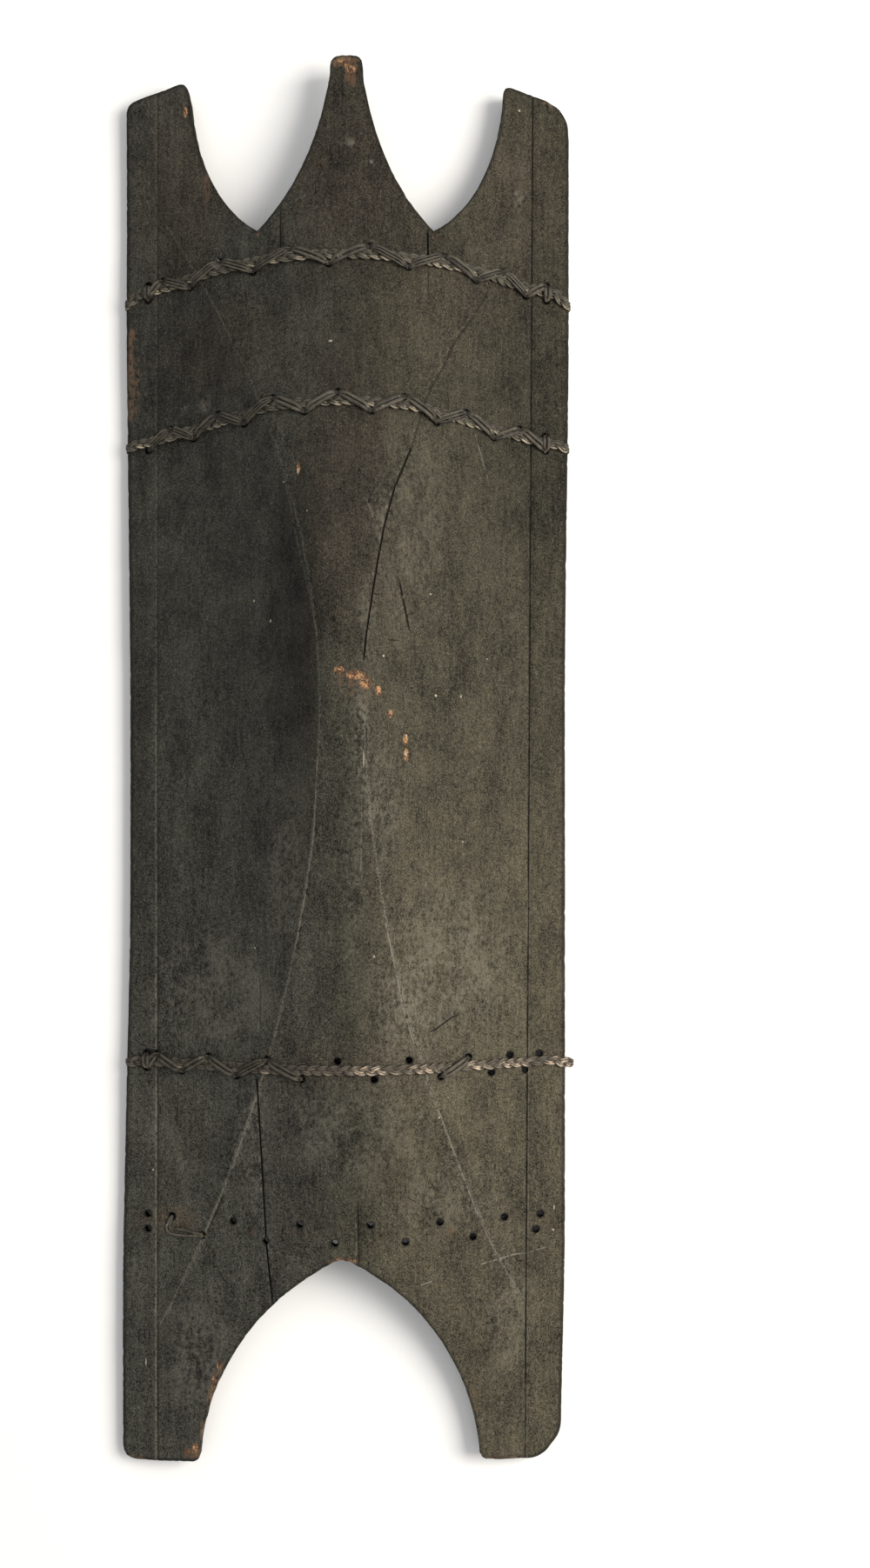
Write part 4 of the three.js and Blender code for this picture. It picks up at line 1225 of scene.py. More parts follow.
# Patches that darken the wood: painted shade left of the ridge and along the left flange, and
# darker wood in the other places.
SHADE_AND_DARK_PATCHES = (
    Patch(344, 690, 50, 270, 0.75), Patch(400, 480, 90, 270, 0.44), Patch(158, 800, 26, 620, 0.45),
    Patch(400, 250, 170, 200, 0.30), Patch(590, 480, 90, 200, 0.30), Patch(200, 420, 90, 160, 0.35),
    Patch(395, 1120, 50, 330, 0.45), Patch(380, 1320, 110, 190, 0.50),
    Patch(215, 1570, 60, 140, 0.45),
)
BRIGHT = (Patch(280, 1305, 46, 110, 1.0), Patch(232, 1420, 36, 70, 0.45))
DENTS = (
    Patch(343, 537, 9, 14, 0.0012), Patch(465, 858, 12, 22, 0.0009),
    Patch(408, 782, 30, 24, 0.0008), Patch(213, 128, 9, 11, 0.0010),
    Patch(235, 466, 16, 18, 0.0006), Patch(500, 482, 12, 16, 0.0008),
    Patch(165, 1535, 12, 16, 0.0008), Patch(388, 1434, 14, 12, 0.0010),
    Patch(540, 1130, 40, 26, 0.0004),
)


def painted(points: Array, patches: tuple[Patch, ...]) -> Array:
    """The strongest patch at each point."""
    return np.max([patch.share(points) for patch in patches], axis=0)


FRONT_RIPPLES = (
    Ripple(0.00022, 11, (0.022, 0.090)),
    Ripple(0.00012, 12, (0.007, 0.030), 20),
    Ripple(0.00060, 13, (0.110, 0.260)),
)
BACK_RIPPLES = (Ripple(0.00075, 21, (0.020, 0.050)), Ripple(0.00030, 22, (0.008, 0.026)))
RIM_RIPPLES = (Ripple(0.00018, 41, (0.018, 0.018), 20), Ripple(0.00018, 42, (0.005, 0.005), 20))
RIM_PROFILE = (
    (0.00075, 0.00028, 0.0), (0.0002, 0.0009, 0.0), (0.0, 0.0, 0.35), (0.0, 0.0, 0.75),
    (0.00025, -0.0005, 1.0),
)
BACK_VALUES = {
    "scribed": (1.0, 1.0, 0.05), "crack": (1.0, 0.0, 0.0), "scratch": (1.0, 0.0, 0.0),
    "wear": (0.0, 0.4, 0.15), "back": (1.0, 0.0, 0.0), "bright": (0.0, 0.0, 0.0),
}


@dataclass
class CarvedBoard:
    """The board as a fine skin: a front sheet, rounded rims, hole walls and a hollow back.

    A layer of the rim is given by how far in it lies, how far down, and its share of the way
    to the back.
    """

    form: ShieldForm = FORM
    outline: Outline = Outline()
    columns: int = 120
    body_rows: int = 262
    horn_rows: int = 42
    spike_rows: int = 48
    leg_rows: int = 84
    left_flange_column: int = 9
    right_flange_column: int = 110
    left_valley_column: int = 37
    right_valley_column: int = 83
    apex_column: int = 60
    groove_half_width: float = 0.0009
    flange_groove_depth: float = 0.0007
    hip_groove_depth: float = 0.00028
    hip_groove_half_width: float = 0.0022
    crack_half_width: float = 0.0005
    crack_depth: float = 0.0016
    hole_radius: float = 0.0028
    hole_pull: float = 0.0075
    scar_half_width: float = 0.004
    scar_depth: float = 0.00035
    front_inset: float = 0.0016
    back_inset: float = 0.0010
    rubbed_loss: float = 0.0009
    least_wall: float = 0.003

    def across(
        self, left: Array, right: Array, y: Array, columns: tuple[int, int], pins: dict
    ) -> Array:
        """Places of the grid's columns: straight stretches between pinned columns.

        Args:
            left: Place of the first column in each row.
            right: Place of the last column in each row.
            y: Height of each row.
            columns: The first and last column.
            pins: Place of each further pinned column in each row.

        Returns:
            One row of places for each row of the grid.
        """
        first, last = columns
        gap = self.groove_half_width
        pinned = {first: left, last: right, **pins}
        lines = (
            (self.left_flange_column, -self.form.flange_line(-1.0, y)),
            (self.right_flange_column, self.form.flange_line(1.0, y)),
        )
        for column, x in lines:
            if first < column < last:
                pinned.update({column - 1: x - gap, column: x, column + 1: x + gap})
        keys = np.array(sorted(pinned))
        places = np.stack([np.broadcast_to(pinned[k], y.shape) for k in keys], axis=1)
        wanted = np.arange(first, last + 1)
        upper = np.clip(np.searchsorted(keys, wanted, side="right"), 1, len(keys) - 1)
        share = (wanted - keys[upper - 1]) / (keys[upper] - keys[upper - 1])
        return mix(places[:, upper - 1], places[:, upper], share)

    def body(self) -> Array:
        """Grid of the body: straight rows from the point of the arch to the valleys."""
        y = np.linspace(self.outline.apex_y, self.outline.valley_y, self.body_rows + 1)
        up = (y - y[0]) / (y[-1] - y[0])
        reach = self.outline.valley_reach
        left = -self.form.side_reach(-1, y)
        right = self.form.side_reach(1, y)

        def even(column: int) -> Array:
            """A column's even place in each row."""
            return mix(left, right, column / self.columns)

        valley = smooth(up * 2 - 1)
        apex = smooth(1 - up * 2)
        pins = {
            self.left_valley_column: mix(even(self.left_valley_column), -reach, valley),
            self.right_valley_column: mix(even(self.right_valley_column), reach, valley),
            self.apex_column: mix(even(self.apex_column), self.outline.arch_apex_x, apex),
        }
        x = self.across(left, right, y, (0, self.columns), pins)
        return np.stack([x, np.broadcast_to(y[:, None], x.shape)], axis=2)

    def prong(self, prong: Prong) -> Array:
        """Grid of a prong or a leg.

        A row joins the two side edges at a share of their heights. What is missing to the end
        edge is added by the cube of the share, so that the last row lies on that edge.
        """
        share = (np.arange(prong.rows + 1) / prong.rows) ** prong.bunching

        def edge(path: Array) -> tuple[Array, Array]:
            """A side edge's place and height in each row."""
            y = mix(path[0, 1], path[-1, 1], share)
            order = np.argsort(path[:, 1])
            return np.interp(y, path[order, 1], path[order, 0]), y

        left_x, left_y = edge(prong.left)
        right_x, right_y = edge(prong.right)
        columns = (prong.first_column, prong.last_column)
        x = self.across(left_x, right_x, (left_y + right_y) / 2, columns, {})
        cross = (x - left_x[:, None]) / (right_x - left_x)[:, None]
        y = mix(left_y[:, None], right_y[:, None], cross)
        order = np.argsort(prong.end[:, 0])
        missing = np.interp(x[-1], prong.end[order, 0], prong.end[order, 1]) - y[-1]
        y = y + share[:, None] ** 3 * missing
        return np.stack([x, y], axis=2)

    def sheet(self) -> tuple[Array, Array]:
        """The flat sheet: all the blocks, joined where their points are the same."""
        outline = self.outline
        left, right, apex, last = (
            self.left_valley_column, self.right_valley_column, self.apex_column, self.columns
        )
        body = self.body()
        blocks = [body]
        for prong, flip in (
            (outline.left_horn((0, left), self.horn_rows), False),
            (outline.spike((left, right), self.spike_rows), False),
            (outline.right_horn((right, last), self.horn_rows), False),
            (outline.left_leg((0, apex), self.leg_rows), True),
            (outline.right_leg((apex, last), self.leg_rows), True),
        ):
            grid = self.prong(prong)
            base = body[0] if flip else body[-1]
            grid[0] = base[prong.first_column : prong.last_column + 1]
            blocks.append(grid[::-1] if flip else grid)
        points, quads, total = [], [], 0
        for grid in blocks:
            rows, columns = grid.shape[:2]
            index = np.arange(rows * columns).reshape(rows, columns) + total
            corners = (index[:-1, :-1], index[:-1, 1:], index[1:, 1:], index[1:, :-1])
            quads.append(np.stack([c.ravel() for c in corners], axis=1))
            points.append(grid.reshape(-1, 2))
            total += rows * columns
        points, quads = np.concatenate(points), np.concatenate(quads)
        _, first, again = np.unique(
            np.round(points * 1e6).astype(np.int64), axis=0, return_index=True, return_inverse=True
        )
        return points[first], again.reshape(-1)[quads]

    def pinch(self, points: Array) -> Array:
        """Draw the grid together along the cracks: each row gets three points across a crack.

        The nearest point goes onto the crack and its two neighbours close beside it, by
        rounding the distance from the crack to whole cells.
        """
        cell = self.form.width / self.columns
        result = points.copy()
        for crack in CRACKS:
            if crack.strength < FAINT:
                continue
            path = crack.on_board()
            order = np.argsort(path[:, 1])
            middle = np.interp(points[:, 1], path[order, 1], path[order, 0])
            inside = (points[:, 1] > path[:, 1].min()) & (points[:, 1] < path[:, 1].max())
            gap = (result[:, 0] - middle) / cell
            close = inside & (np.abs(gap) < 1.5)
            target = middle + np.round(gap) * self.crack_half_width
            result[:, 0] = np.where(close, target, result[:, 0])
        return result

    def bore(self, points: Array, quads: Array) -> tuple[Array, Array, Array]:
        """Open the lacing holes: for each one, four cells go and their ring is made round.

        Args:
            points: The flat sheet's points.
            quads: Its cells.

        Returns:
            The moved points, the cells that are left, and a mark for each point on a hole.
        """
        keep = np.ones(len(quads), dtype=bool)
        on_hole = np.zeros(len(points), dtype=bool)
        for row in ALL_ROWS:
            for centre in self.form.holes(row):
                offset = np.array(centre) - points
                distance = np.hypot(offset[:, 0], offset[:, 1])
                nearest = int(np.argmin(distance))
                pull = np.clip(1 - (distance / self.hole_pull) ** 2, 0, 1)
                points = points + offset[nearest] * pull[:, None] ** 2
                cells = np.any(quads == nearest, axis=1)
                keep &= ~cells
                ring = np.setdiff1d(np.unique(quads[cells]), [nearest])
                spokes = unit(points[ring] - np.array(centre))
                points[ring] = np.array(centre) + spokes * self.hole_radius
                on_hole[ring] = True
        return points, quads[keep], on_hole

    def front_height(self, points: Array, cracks: Array) -> Array:
        """The carved front with knife facets, scribed lines, cracks and dents.

        It is the plain form plus long ripples, less a groove at each scribed line, less a sharp
        groove at each strong crack, less the dents and the scar of the lost lacing. The flange
        groove is shallower high up on the left.
        """
        x, y = points.T
        height = self.form.front(x, y)
        for ripple in FRONT_RIPPLES:
            height += ripple.at(x, y)
        flange = np.abs(np.abs(x) - self.form.flange_line(x, y))
        groove = np.clip(1 - flange / self.groove_half_width, 0, 1)
        shallow = np.where(x < 0, mix(0.35, 1.0, smooth((0.12 - y) / 0.36)), 1.0)
        height -= self.flange_groove_depth * shallow * groove
        hip = np.abs(np.abs(x) - self.form.hip_reach(x, y))
        height -= self.hip_groove_depth * np.exp(-((hip / self.hip_groove_half_width) ** 2))
        crack = np.clip(1 - np.abs(cracks[:, 0]) / self.crack_half_width, 0, 1)
        strong = np.clip((cracks[:, 1] - FAINT) / (1.0 - FAINT), 0.0, 1.0)
        height -= self.crack_depth * crack * strong
        height -= np.sum([dent.share(points) for dent in DENTS], axis=0)
        from_row = (y - self.form.row_line(BARE_ROW, x)) / self.scar_half_width
        torn = smooth(ripples(x, y, 14, (0.03, 0.03)) + 0.6)
        height -= self.scar_depth * np.exp(-(from_row**2)) * torn
        return height

    def back_height(self, points: Array) -> Array:
        """The hollow back with gouge marks, and shallow notches where the plaits pass."""
        x, y = points.T
        height = self.form.back(x, y)
        inside = smooth((self.form.waist - self.form.rim_strip - np.abs(x)) / 0.02)
        for ripple in BACK_RIPPLES:
            height += inside * ripple.at(x, y)
        for row in LACED_ROWS:
            for side in (-1, 1):
                line = float(self.form.plait_line(row, side * self.form.half))
                edge = float(self.form.side_reach(side, line))
                in_band = np.abs(y - line) < self.form.notch_width / 2
                past = side * x > edge - self.form.notch_length
                ceiling = self.form.notch_ceiling
                height = np.where(in_band & past, np.maximum(height, ceiling), height)
        return height

    def attributes(self, points: Array, rim: Array) -> dict[str, Array]:
        """What the finish reads: distances from lines and edges, patches of wear, and patches of
        painted shade and darker wood.

        The hip line ends where it comes close to the flange line, and above the waist on the
        right. The scar is that of the lost lacing in the bare row.

        Args:
            points: The front's points.
            rim: Which of them lie on the rim.

        Returns:
            Vector attributes by name.
        """
        x, y = points.T
        edge = np.full(len(points), 1.0)
        rim_points = points[rim]
        for block in np.array_split(np.arange(len(points)), 24):
            gap = points[block, None, :] - rim_points[None, :, :]
            edge[block] = np.sqrt(np.min(np.sum(gap * gap, axis=2), axis=1))
        flange = np.abs(x) - self.form.flange_line(x, y)
        hip_line = self.form.hip_reach(x, y)
        step = 0.002
        slope = (self.form.hip_reach(x, y + step) - self.form.hip_reach(x, y - step)) / (2 * step)
        hip = (np.abs(x) - hip_line) / np.hypot(1.0, slope)
        cracks = nearest_mark(points, CRACKS)
        scar_line = np.exp(-(((y - self.form.row_line(BARE_ROW, x)) / 0.0035) ** 2))
        scar = 0.8 * scar_line * smooth(ripples(x, y, 31, (0.02, 0.02)) * 0.8)
        zero = np.zeros(len(points))
        wear = [painted(points, patches) for patches in (RUBBED, STAINS, DUSTY)]
        merged = hip_line > self.form.flange_line(x, y) - 1.3 * self.form.hip_margin
        right_high = (x > 0) & (y > self.form.hip_waist_y)
        hip = np.where(right_high | merged, 1.0, hip)
        return {
            "scribed": np.stack([flange, hip, edge], axis=1),
            "crack": cracks,
            "scratch": nearest_mark(points, SCRATCHES),
            "wear": np.stack(wear, axis=1),
            "back": np.stack([zero, scar, painted(points, SHADE_AND_DARK_PATCHES)], axis=1),
            "bright": np.stack([painted(points, BRIGHT), zero, zero], axis=1),
        }

    def rim_line(self, flat: Array, rim_edges: Array) -> tuple[Array, Array, Array]:
        """The rim as wear has left it.

        Args:
            flat: The flat sheet's points.
            rim_edges: The edges of its outline.

        Returns:
            The numbers of the rim's points, their places and their outward directions.
        """
        turn = flat[rim_edges[:, 1]] - flat[rim_edges[:, 0]]
        outward = np.zeros_like(flat)
        for end in rim_edges.T:
            np.add.at(outward, end, np.stack([turn[:, 1], -turn[:, 0]], axis=1))
        rim = np.unique(rim_edges)
        outward = unit(outward[rim])
        rough = sum(ripple.at(*flat[rim].T) for ripple in RIM_RIPPLES)
        rough = np.minimum(rough, 0.0) - 0.00005
        rough -= self.rubbed_loss * np.clip(painted(flat[rim], RUBBED) - 0.4, 0, 1)
        return rim, flat[rim] + outward * rough[:, None], outward

    def build(self, material: bpy.types.Material) -> bpy.types.Object:
        """Make the board.

        Args:
            material: The finish of the wood.

        Returns:
            The piece that stands for the node board.
        """
        flat, quads = self.sheet()
        flat = self.pinch(flat)
        flat, quads, on_hole = self.bore(flat, quads)
        used, quads = np.unique(quads, return_inverse=True)
        quads = quads.reshape(-1, 4)
        flat, on_hole = flat[used], on_hole[used]
        count = len(flat)
        border = border_edges(quads)
        at_hole = on_hole[border[:, 0]] & on_hole[border[:, 1]]
        hole_edges, rim_edges = border[at_hole], border[~at_hole]
        rim, outer, outward = self.rim_line(flat, rim_edges)

        front_flat, back_flat = flat.copy(), flat.copy()
        front_flat[rim] = outer - outward * self.front_inset
        back_flat[rim] = outer - outward * self.back_inset
        attributes = self.attributes(front_flat, rim)
        attributes["crack"][:, 2] = on_hole
        front_z = self.front_height(front_flat, attributes["crack"])
        back_z = self.back_height(back_flat)
        front = np.column_stack([front_flat, front_z])
        back = np.column_stack([back_flat, np.minimum(back_z, front_z - self.least_wall)])

        layers = []
        for inset, below, share in RIM_PROFILE:
            z = mix(front_z[rim], back_z[rim], share) - below
            layers.append(np.column_stack([outer - outward * inset, z]))
        layer_size = len(rim)
        place = np.full(count, -1)
        place[rim] = np.arange(layer_size)
        back_start = count + layer_size * len(layers)
        levels = [rim_edges]
        for level in range(len(layers)):
            levels.append(place[rim_edges] + count + level * layer_size)
        levels.append(rim_edges + back_start)
        walls = [strip(high, low) for high, low in zip(levels[:-1], levels[1:])]
        walls.append(strip(hole_edges, hole_edges + back_start))

        keel_points, keel_faces = GripKeel(self.form).build()
        keel_start = back_start + count
        points = np.concatenate([front, *layers, back, keel_points])
        faces = [quads, *walls, quads[:, ::-1] + back_start]
        faces += [block + keel_start for block in keel_faces]
        piece = make_piece("carved_board", points, faces, material)
        for name, values in attributes.items():
            rim_values = np.tile(values[rim], (len(layers), 1))
            plain = np.tile(BACK_VALUES[name], (count + len(keel_points), 1))
            if name == "wear":
                plain[rim, 0] = values[rim, 0]
            if name == "crack":
                plain[:count, 2] = on_hole
            store(piece.data, name, np.concatenate([values, rim_values, plain]))
        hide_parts("board")
        return piece


@dataclass
class GripKeel:
    """The keel left standing along the hollow back, with the grip bar and its finger gap."""

    form: ShieldForm
    width: float = 0.024
    thickness: float = 0.022
    floor: float = 0.021
    chamfer: float = 0.005
    finger_span: float = 0.114
    finger_corner: float = 0.012
    bar_length: float = 0.150
    ramp_length: float = 0.110
    embedded: float = 0.005
    ring_step: float = 0.003

    def build(self) -> tuple[Array, list[Array]]:
        """A beam carried along the board: its underside ramps down to the bar, and its top
        runs inside the wall but for the finger gap, which has round corners.

        Returns:
            The points and the faces of a closed shell.
        """
        half = self.width / 2
        reach = self.bar_length / 2 + self.ramp_length
        gap = self.finger_span / 2
        along = np.linspace(-reach, reach, int(2 * reach / self.ring_step) | 1)
        ends = np.array([-gap - 1e-5, -gap + 1e-5, gap - 1e-5, gap + 1e-5])
        corners = gap - self.finger_corner * (1 - np.cos(np.linspace(0, np.pi / 2, 7)))
        along = np.unique(np.concatenate([along, ends, corners, -corners]))
        y = self.form.crest_y + along
        ceiling = self.form.back(np.full(y.shape, half), y)
        rise = smooth((np.abs(along) - self.bar_length / 2) / self.ramp_length)
        low = mix(self.floor, self.form.crest_height - self.form.wall_at_crest, rise)
        inset = np.clip(np.abs(along) - (gap - self.finger_corner), 0, self.finger_corner)
        round_up = self.finger_corner - np.sqrt(self.finger_corner**2 - inset**2)
        bar_top = self.floor + self.thickness + round_up
        top = np.where(np.abs(along) < gap, bar_top, ceiling + self.embedded)
        low = np.minimum(low, top - 0.001)
        chamfer = np.minimum(self.chamfer, (top - low) / 2)
        turn = np.linspace(0, np.pi / 2, 5)
        sides = np.linspace(0, 1, 7)
        ring_x = np.concatenate([
            np.full(7, -half), -half + self.chamfer * np.sin(turn[1:]),
            half - self.chamfer * np.sin(turn[::-1][:-1]), np.full(7, half),
        ])
        down = np.concatenate([sides, np.full(8, 1.0), sides[::-1]])
        bend = 1 - np.cos(turn[1:])
        curve = np.concatenate([np.zeros(7), bend, bend[::-1], np.zeros(7)])
        shoulder = (low + chamfer)[:, None]
        z = mix(top[:, None], shoulder, down) - chamfer[:, None] * curve
        ring_x = np.broadcast_to(ring_x, z.shape)
        worn = 0.0006 * ripples(ring_x, y[:, None] + z, 51, (0.02, 0.05))
        ring_y = np.broadcast_to(y[:, None], z.shape)
        points = np.stack([ring_x, ring_y, z + worn * (down > 0)], axis=2)
        rings, size = z.shape
        index = np.arange(rings * size).reshape(rings, size)
        following = np.roll(index, -1, axis=1)
        sides_faces = np.stack([
            index[:-1].ravel(), following[:-1].ravel(), following[1:].ravel(), index[1:].ravel()
        ], axis=1)
        return points.reshape(-1, 3), [sides_faces, index[:1, ::-1], index[-1:, :]]


def ribbon(
    path: Array, up: Array, width: Array, thickness: float, tone: Array, sides: int = 8
) -> tuple[Array, list[Array], Array]:
    """A flat strand with rounded edges, carried along a path.

    Each ring is an oval, squared a little, that lies across the path and its up direction.

    Args:
        path: Middle line, n by 3.
        up: Direction of the strand's flat face at each point, n by 3.
        width: Width at each point or for all.
        thickness: Thickness of the strand.
        tone: A shade, at each point or for all, that the finish reads: 0 and below is dark, and
            the fibres are bared from 0.8 on.
        sides: Corners of a ring.

    Returns:
        Points, face arrays and the attribute lay.
    """
    ahead = unit(np.gradient(path, axis=0))
    aside = unit(np.cross(ahead, up))
    rise = np.cross(aside, ahead)
    angle = np.linspace(0, 2 * np.pi, sides, endpoint=False)
    across = np.sign(np.cos(angle)) * np.abs(np.cos(angle)) ** 0.7
    over = np.sign(np.sin(angle)) * np.abs(np.sin(angle)) ** 0.8
    width = np.broadcast_to(width, len(path))[:, None, None]
    rings = path[:, None, :] + aside[:, None, :] * across[None, :, None] * width / 2
    rings = rings + rise[:, None, :] * over[None, :, None] * thickness / 2
    count = len(path)
    index = np.arange(count * sides).reshape(count, sides)
    following = np.roll(index, -1, axis=1)
    skin = np.stack([
        index[:-1].ravel(), index[1:].ravel(), following[1:].ravel(), following[:-1].ravel()
    ], axis=1)
    lay = np.stack([
        np.repeat(way_along(path), sides), np.tile(across, count),
        np.repeat(np.broadcast_to(tone, count), sides)
    ], axis=1)
    return rings.reshape(-1, 3), [skin, index[:1, :], index[-1:, ::-1]], lay


UP_WEIGHT = 1e-4


def averaged(values: Array, passes: int) -> Array:
    """Rows averaged with their neighbours a few times, but for the first and the last."""
    for _ in range(passes):
        values[1:-1] = (values[:-2] + 2 * values[1:-1] + values[2:]) / 4
    return values


def sampled(values: Array, way: Array, count: int) -> Array:
    """Rows read off at count even steps of the way along."""
    even = np.linspace(0, way[-1], count)
    return np.stack([np.interp(even, way, column) for column in values.T], axis=1)


def evened(path: Array, step: float, passes: int) -> Array:
    """A path with even steps, its corners eased by averaging each point with its neighbours."""
    way = way_along(path)
    return averaged(sampled(path, way, max(int(way[-1] / step), 6)), passes)


def eased(path: Array, up: Array, step: float) -> tuple[Array, Array]:
    """A path with even steps and eased corners, and its up directions eased with it."""
    both = evened(np.concatenate([path, up * UP_WEIGHT], axis=1), step, 3)
    return both[:, :3], unit(both[:, 3:])


def front_normal(x: Array, y: Array) -> Array:
    """Direction that the plain front faces, from its slopes."""
    step = 0.003
    slope_x = (FORM.front(x + step, y) - FORM.front(x - step, y)) / (2 * step)
    slope_y = (FORM.front(x, y + step) - FORM.front(x, y - step)) / (2 * step)
    normal = np.stack([-slope_x, -slope_y, np.ones_like(slope_x)], axis=-1)
    return unit(normal)


class Lashing:
    """Something made of strands of rattan, as one piece that stands for one node."""

    def weave(self, parts: MeshParts) -> None:
        """Add the strands."""
        raise NotImplementedError

    def build(
        self, name: str, node: str, material: bpy.types.Material, slot: Slot = Slot.RATTAN
    ) -> bpy.types.Object:
        """Make the piece.

        Args:
            name: Name of the piece.
            node: The node that it stands for.
            material: Its finish.
            slot: The record's slot of that finish; not used.

        Returns:
            The piece.
        """
        parts = MeshParts()
        self.weave(parts)
        piece = make_piece(name, np.concatenate(parts.points), parts.faces, material)
        store(piece.data, "lay", np.concatenate(parts.lay))
        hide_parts(node)
        return piece


@dataclass
class Plait(Lashing):
    """A flat plait of three bundles of split rattan, over both rims and tucked under them."""

    row: Row
    seed: int
    loose_loop: float = 0.0
    bared: float = 0.0
    lower_wear: float = 1.45
    turn_rounding: float = 0.0042
    lift: float = 0.0017
    sway: float = 0.0023
    heave: float = 0.0008
    pitch: float = 0.0255
    strand_width: float = 0.0019
    strand_thickness: float = 0.0010
    tuck: float = 0.008
    step: float = 0.0009

    def middle(self) -> tuple[Array, Array]:
        """Middle line of the plait and the direction that it faces."""
        reach = FORM.half
        x = np.linspace(-reach + 0.003, reach - 0.003, 320)
        y = FORM.plait_line(self.row, x)
        over = np.stack([x, y, FORM.front(x, y) + self.lift], axis=1)
        up = front_normal(x, y)
        ends, ups = [], []
        for side, loose in ((-1, 0.0), (1, self.loose_loop)):
            line = float(FORM.plait_line(self.row, side * reach))
            edge = float(FORM.side_reach(side, line))
            high = float(FORM.front(side * edge, line)) + 0.0010
            low = FORM.notch_ceiling - 0.0013
            out = edge + 0.0007 + loose
            stops = np.array([
                [edge - self.tuck, low, 0.0, -1.0], [out - 0.0022, low, 0.1, -1.0],
                [out - 0.0004, low + 0.0008, 0.8, -0.6], [out, (low + high) / 2, 1.0, 0.0],
                [out - 0.0005, high - 0.0008, 0.8, 0.6], [out - 0.0024, high, 0.2, 1.0],
            ])
            ends.append(np.stack([side * stops[:, 0], np.full(6, line), stops[:, 1]], axis=1))
            ups.append(np.stack([side * stops[:, 2], np.zeros(6), stops[:, 3]], axis=1))
        path = np.concatenate([ends[0], over, ends[1][::-1]])
        up = np.concatenate([ups[0], up, ups[1][::-1]])
        line = evened(path, self.step, 3)
        return line, unit(averaged(sampled(up, way_along(path), len(line)), 3))

    def strands(self, parts: MeshParts) -> None:
        """Add the strands.

        A bundle sways from side to side as a sine of the way along and rises and dips twice as
        often, a third of a turn behind the one before it. Its two strands lie side by side.
        Fibres are bared on its lower side, and further where the plait is bared by wear.
        """
        middle, up = self.middle()
        aside = np.cross(up, unit(np.gradient(middle, axis=0)))
        way = way_along(middle)
        rng = np.random.default_rng(self.seed)

        def varying(seed: int, length: float) -> Array:
            """Noise along the plait."""
            return ripples(way, way * 0, seed, (length, 1.0))

        uneven = 0.5 * varying(self.seed, 0.06)
        reach = np.where(middle[:, 0] < 0, -middle[:, 0].min(), middle[:, 0].max())
        turning = np.clip((reach - np.abs(middle[:, 0])) / self.turn_rounding, 0.0, 1.0)
        tight = mix(0.40, 1.0, np.sqrt(1.0 - (1.0 - turning) ** 2))
        patchy = smooth(0.5 + 0.75 * varying(self.seed + 60, 0.035))
        for bundle in range(3):
            turn = 2 * np.pi * (way / self.pitch + bundle / 3) + uneven
            sway = self.sway * np.sin(turn) * tight
            heave = self.heave * np.sin(2 * turn) * tight
            for pair in (-1, 1):
                shade = rng.uniform(0, 1)
                beside = pair * self.strand_width * 0.46
                loose = 0.00018 * varying(self.seed * 7 + bundle * 2 + pair, 0.012)
                path = middle + aside * (sway + beside + loose)[:, None] + up * heave[:, None]
                width = self.strand_width * (1 + 0.12 * varying(self.seed + pair, 0.02))
                low_side = smooth((-np.sin(turn) - 0.45 - 0.25 * pair) / 0.45)
                tone = 0.7 * shade + self.lower_wear * mix(0.35, 1.0, patchy) * low_side
                bare = smooth((middle[:, 0] + 0.045) / 0.04) * mix(0.35, 1.0, patchy)
                tone = tone + self.bared * bare * mix(0.30, 1.0, smooth(0.5 + np.sin(2 * turn)))
                parts.add(*ribbon(path, up, width * tight, self.strand_thickness, tone))

    def weave(self, parts: MeshParts) -> None:
        """Add the strands, and broken fibres away from the rims."""
        self.strands(parts)
        middle, up = self.middle()
        fray(parts, middle[40:-40], up[40:-40], 26, self.seed)


def fray(parts: MeshParts, line: Array, up: Array, count: int, seed: int) -> None:
    """Add broken fibres that stand a little off a lashing.

    Each is a thin strand that starts on the line and bends away on a parabola.

    Args:
        parts: The mesh to add to.
        line: Points that the fibres may start from.
        up: Outward direction at those points.
        count: How many fibres.
        seed: Fixes the random draws.
    """
    rng = np.random.default_rng(seed + 100)
    t = np.linspace(0, 1, 8)[:, None]
    for _ in range(count):
        k = int(rng.integers(0, len(line)))
        heading = rng.uniform(0, 2 * np.pi)
        flat = np.array([np.cos(heading), 0.6 * np.sin(heading), 0.0])
        length = rng.uniform(0.002, 0.0052)
        start = line[k] + up[k] * 0.0009
        path = start + flat * length * t + up[k] * 0.0014 * np.sin(np.pi * 0.8 * t)
        size = rng.uniform(0.00025, 0.0004)
        parts.add(*ribbon(path, np.tile(up[k], (8, 1)), size * (1.1 - t[:, 0]), size, 1.4, 4))


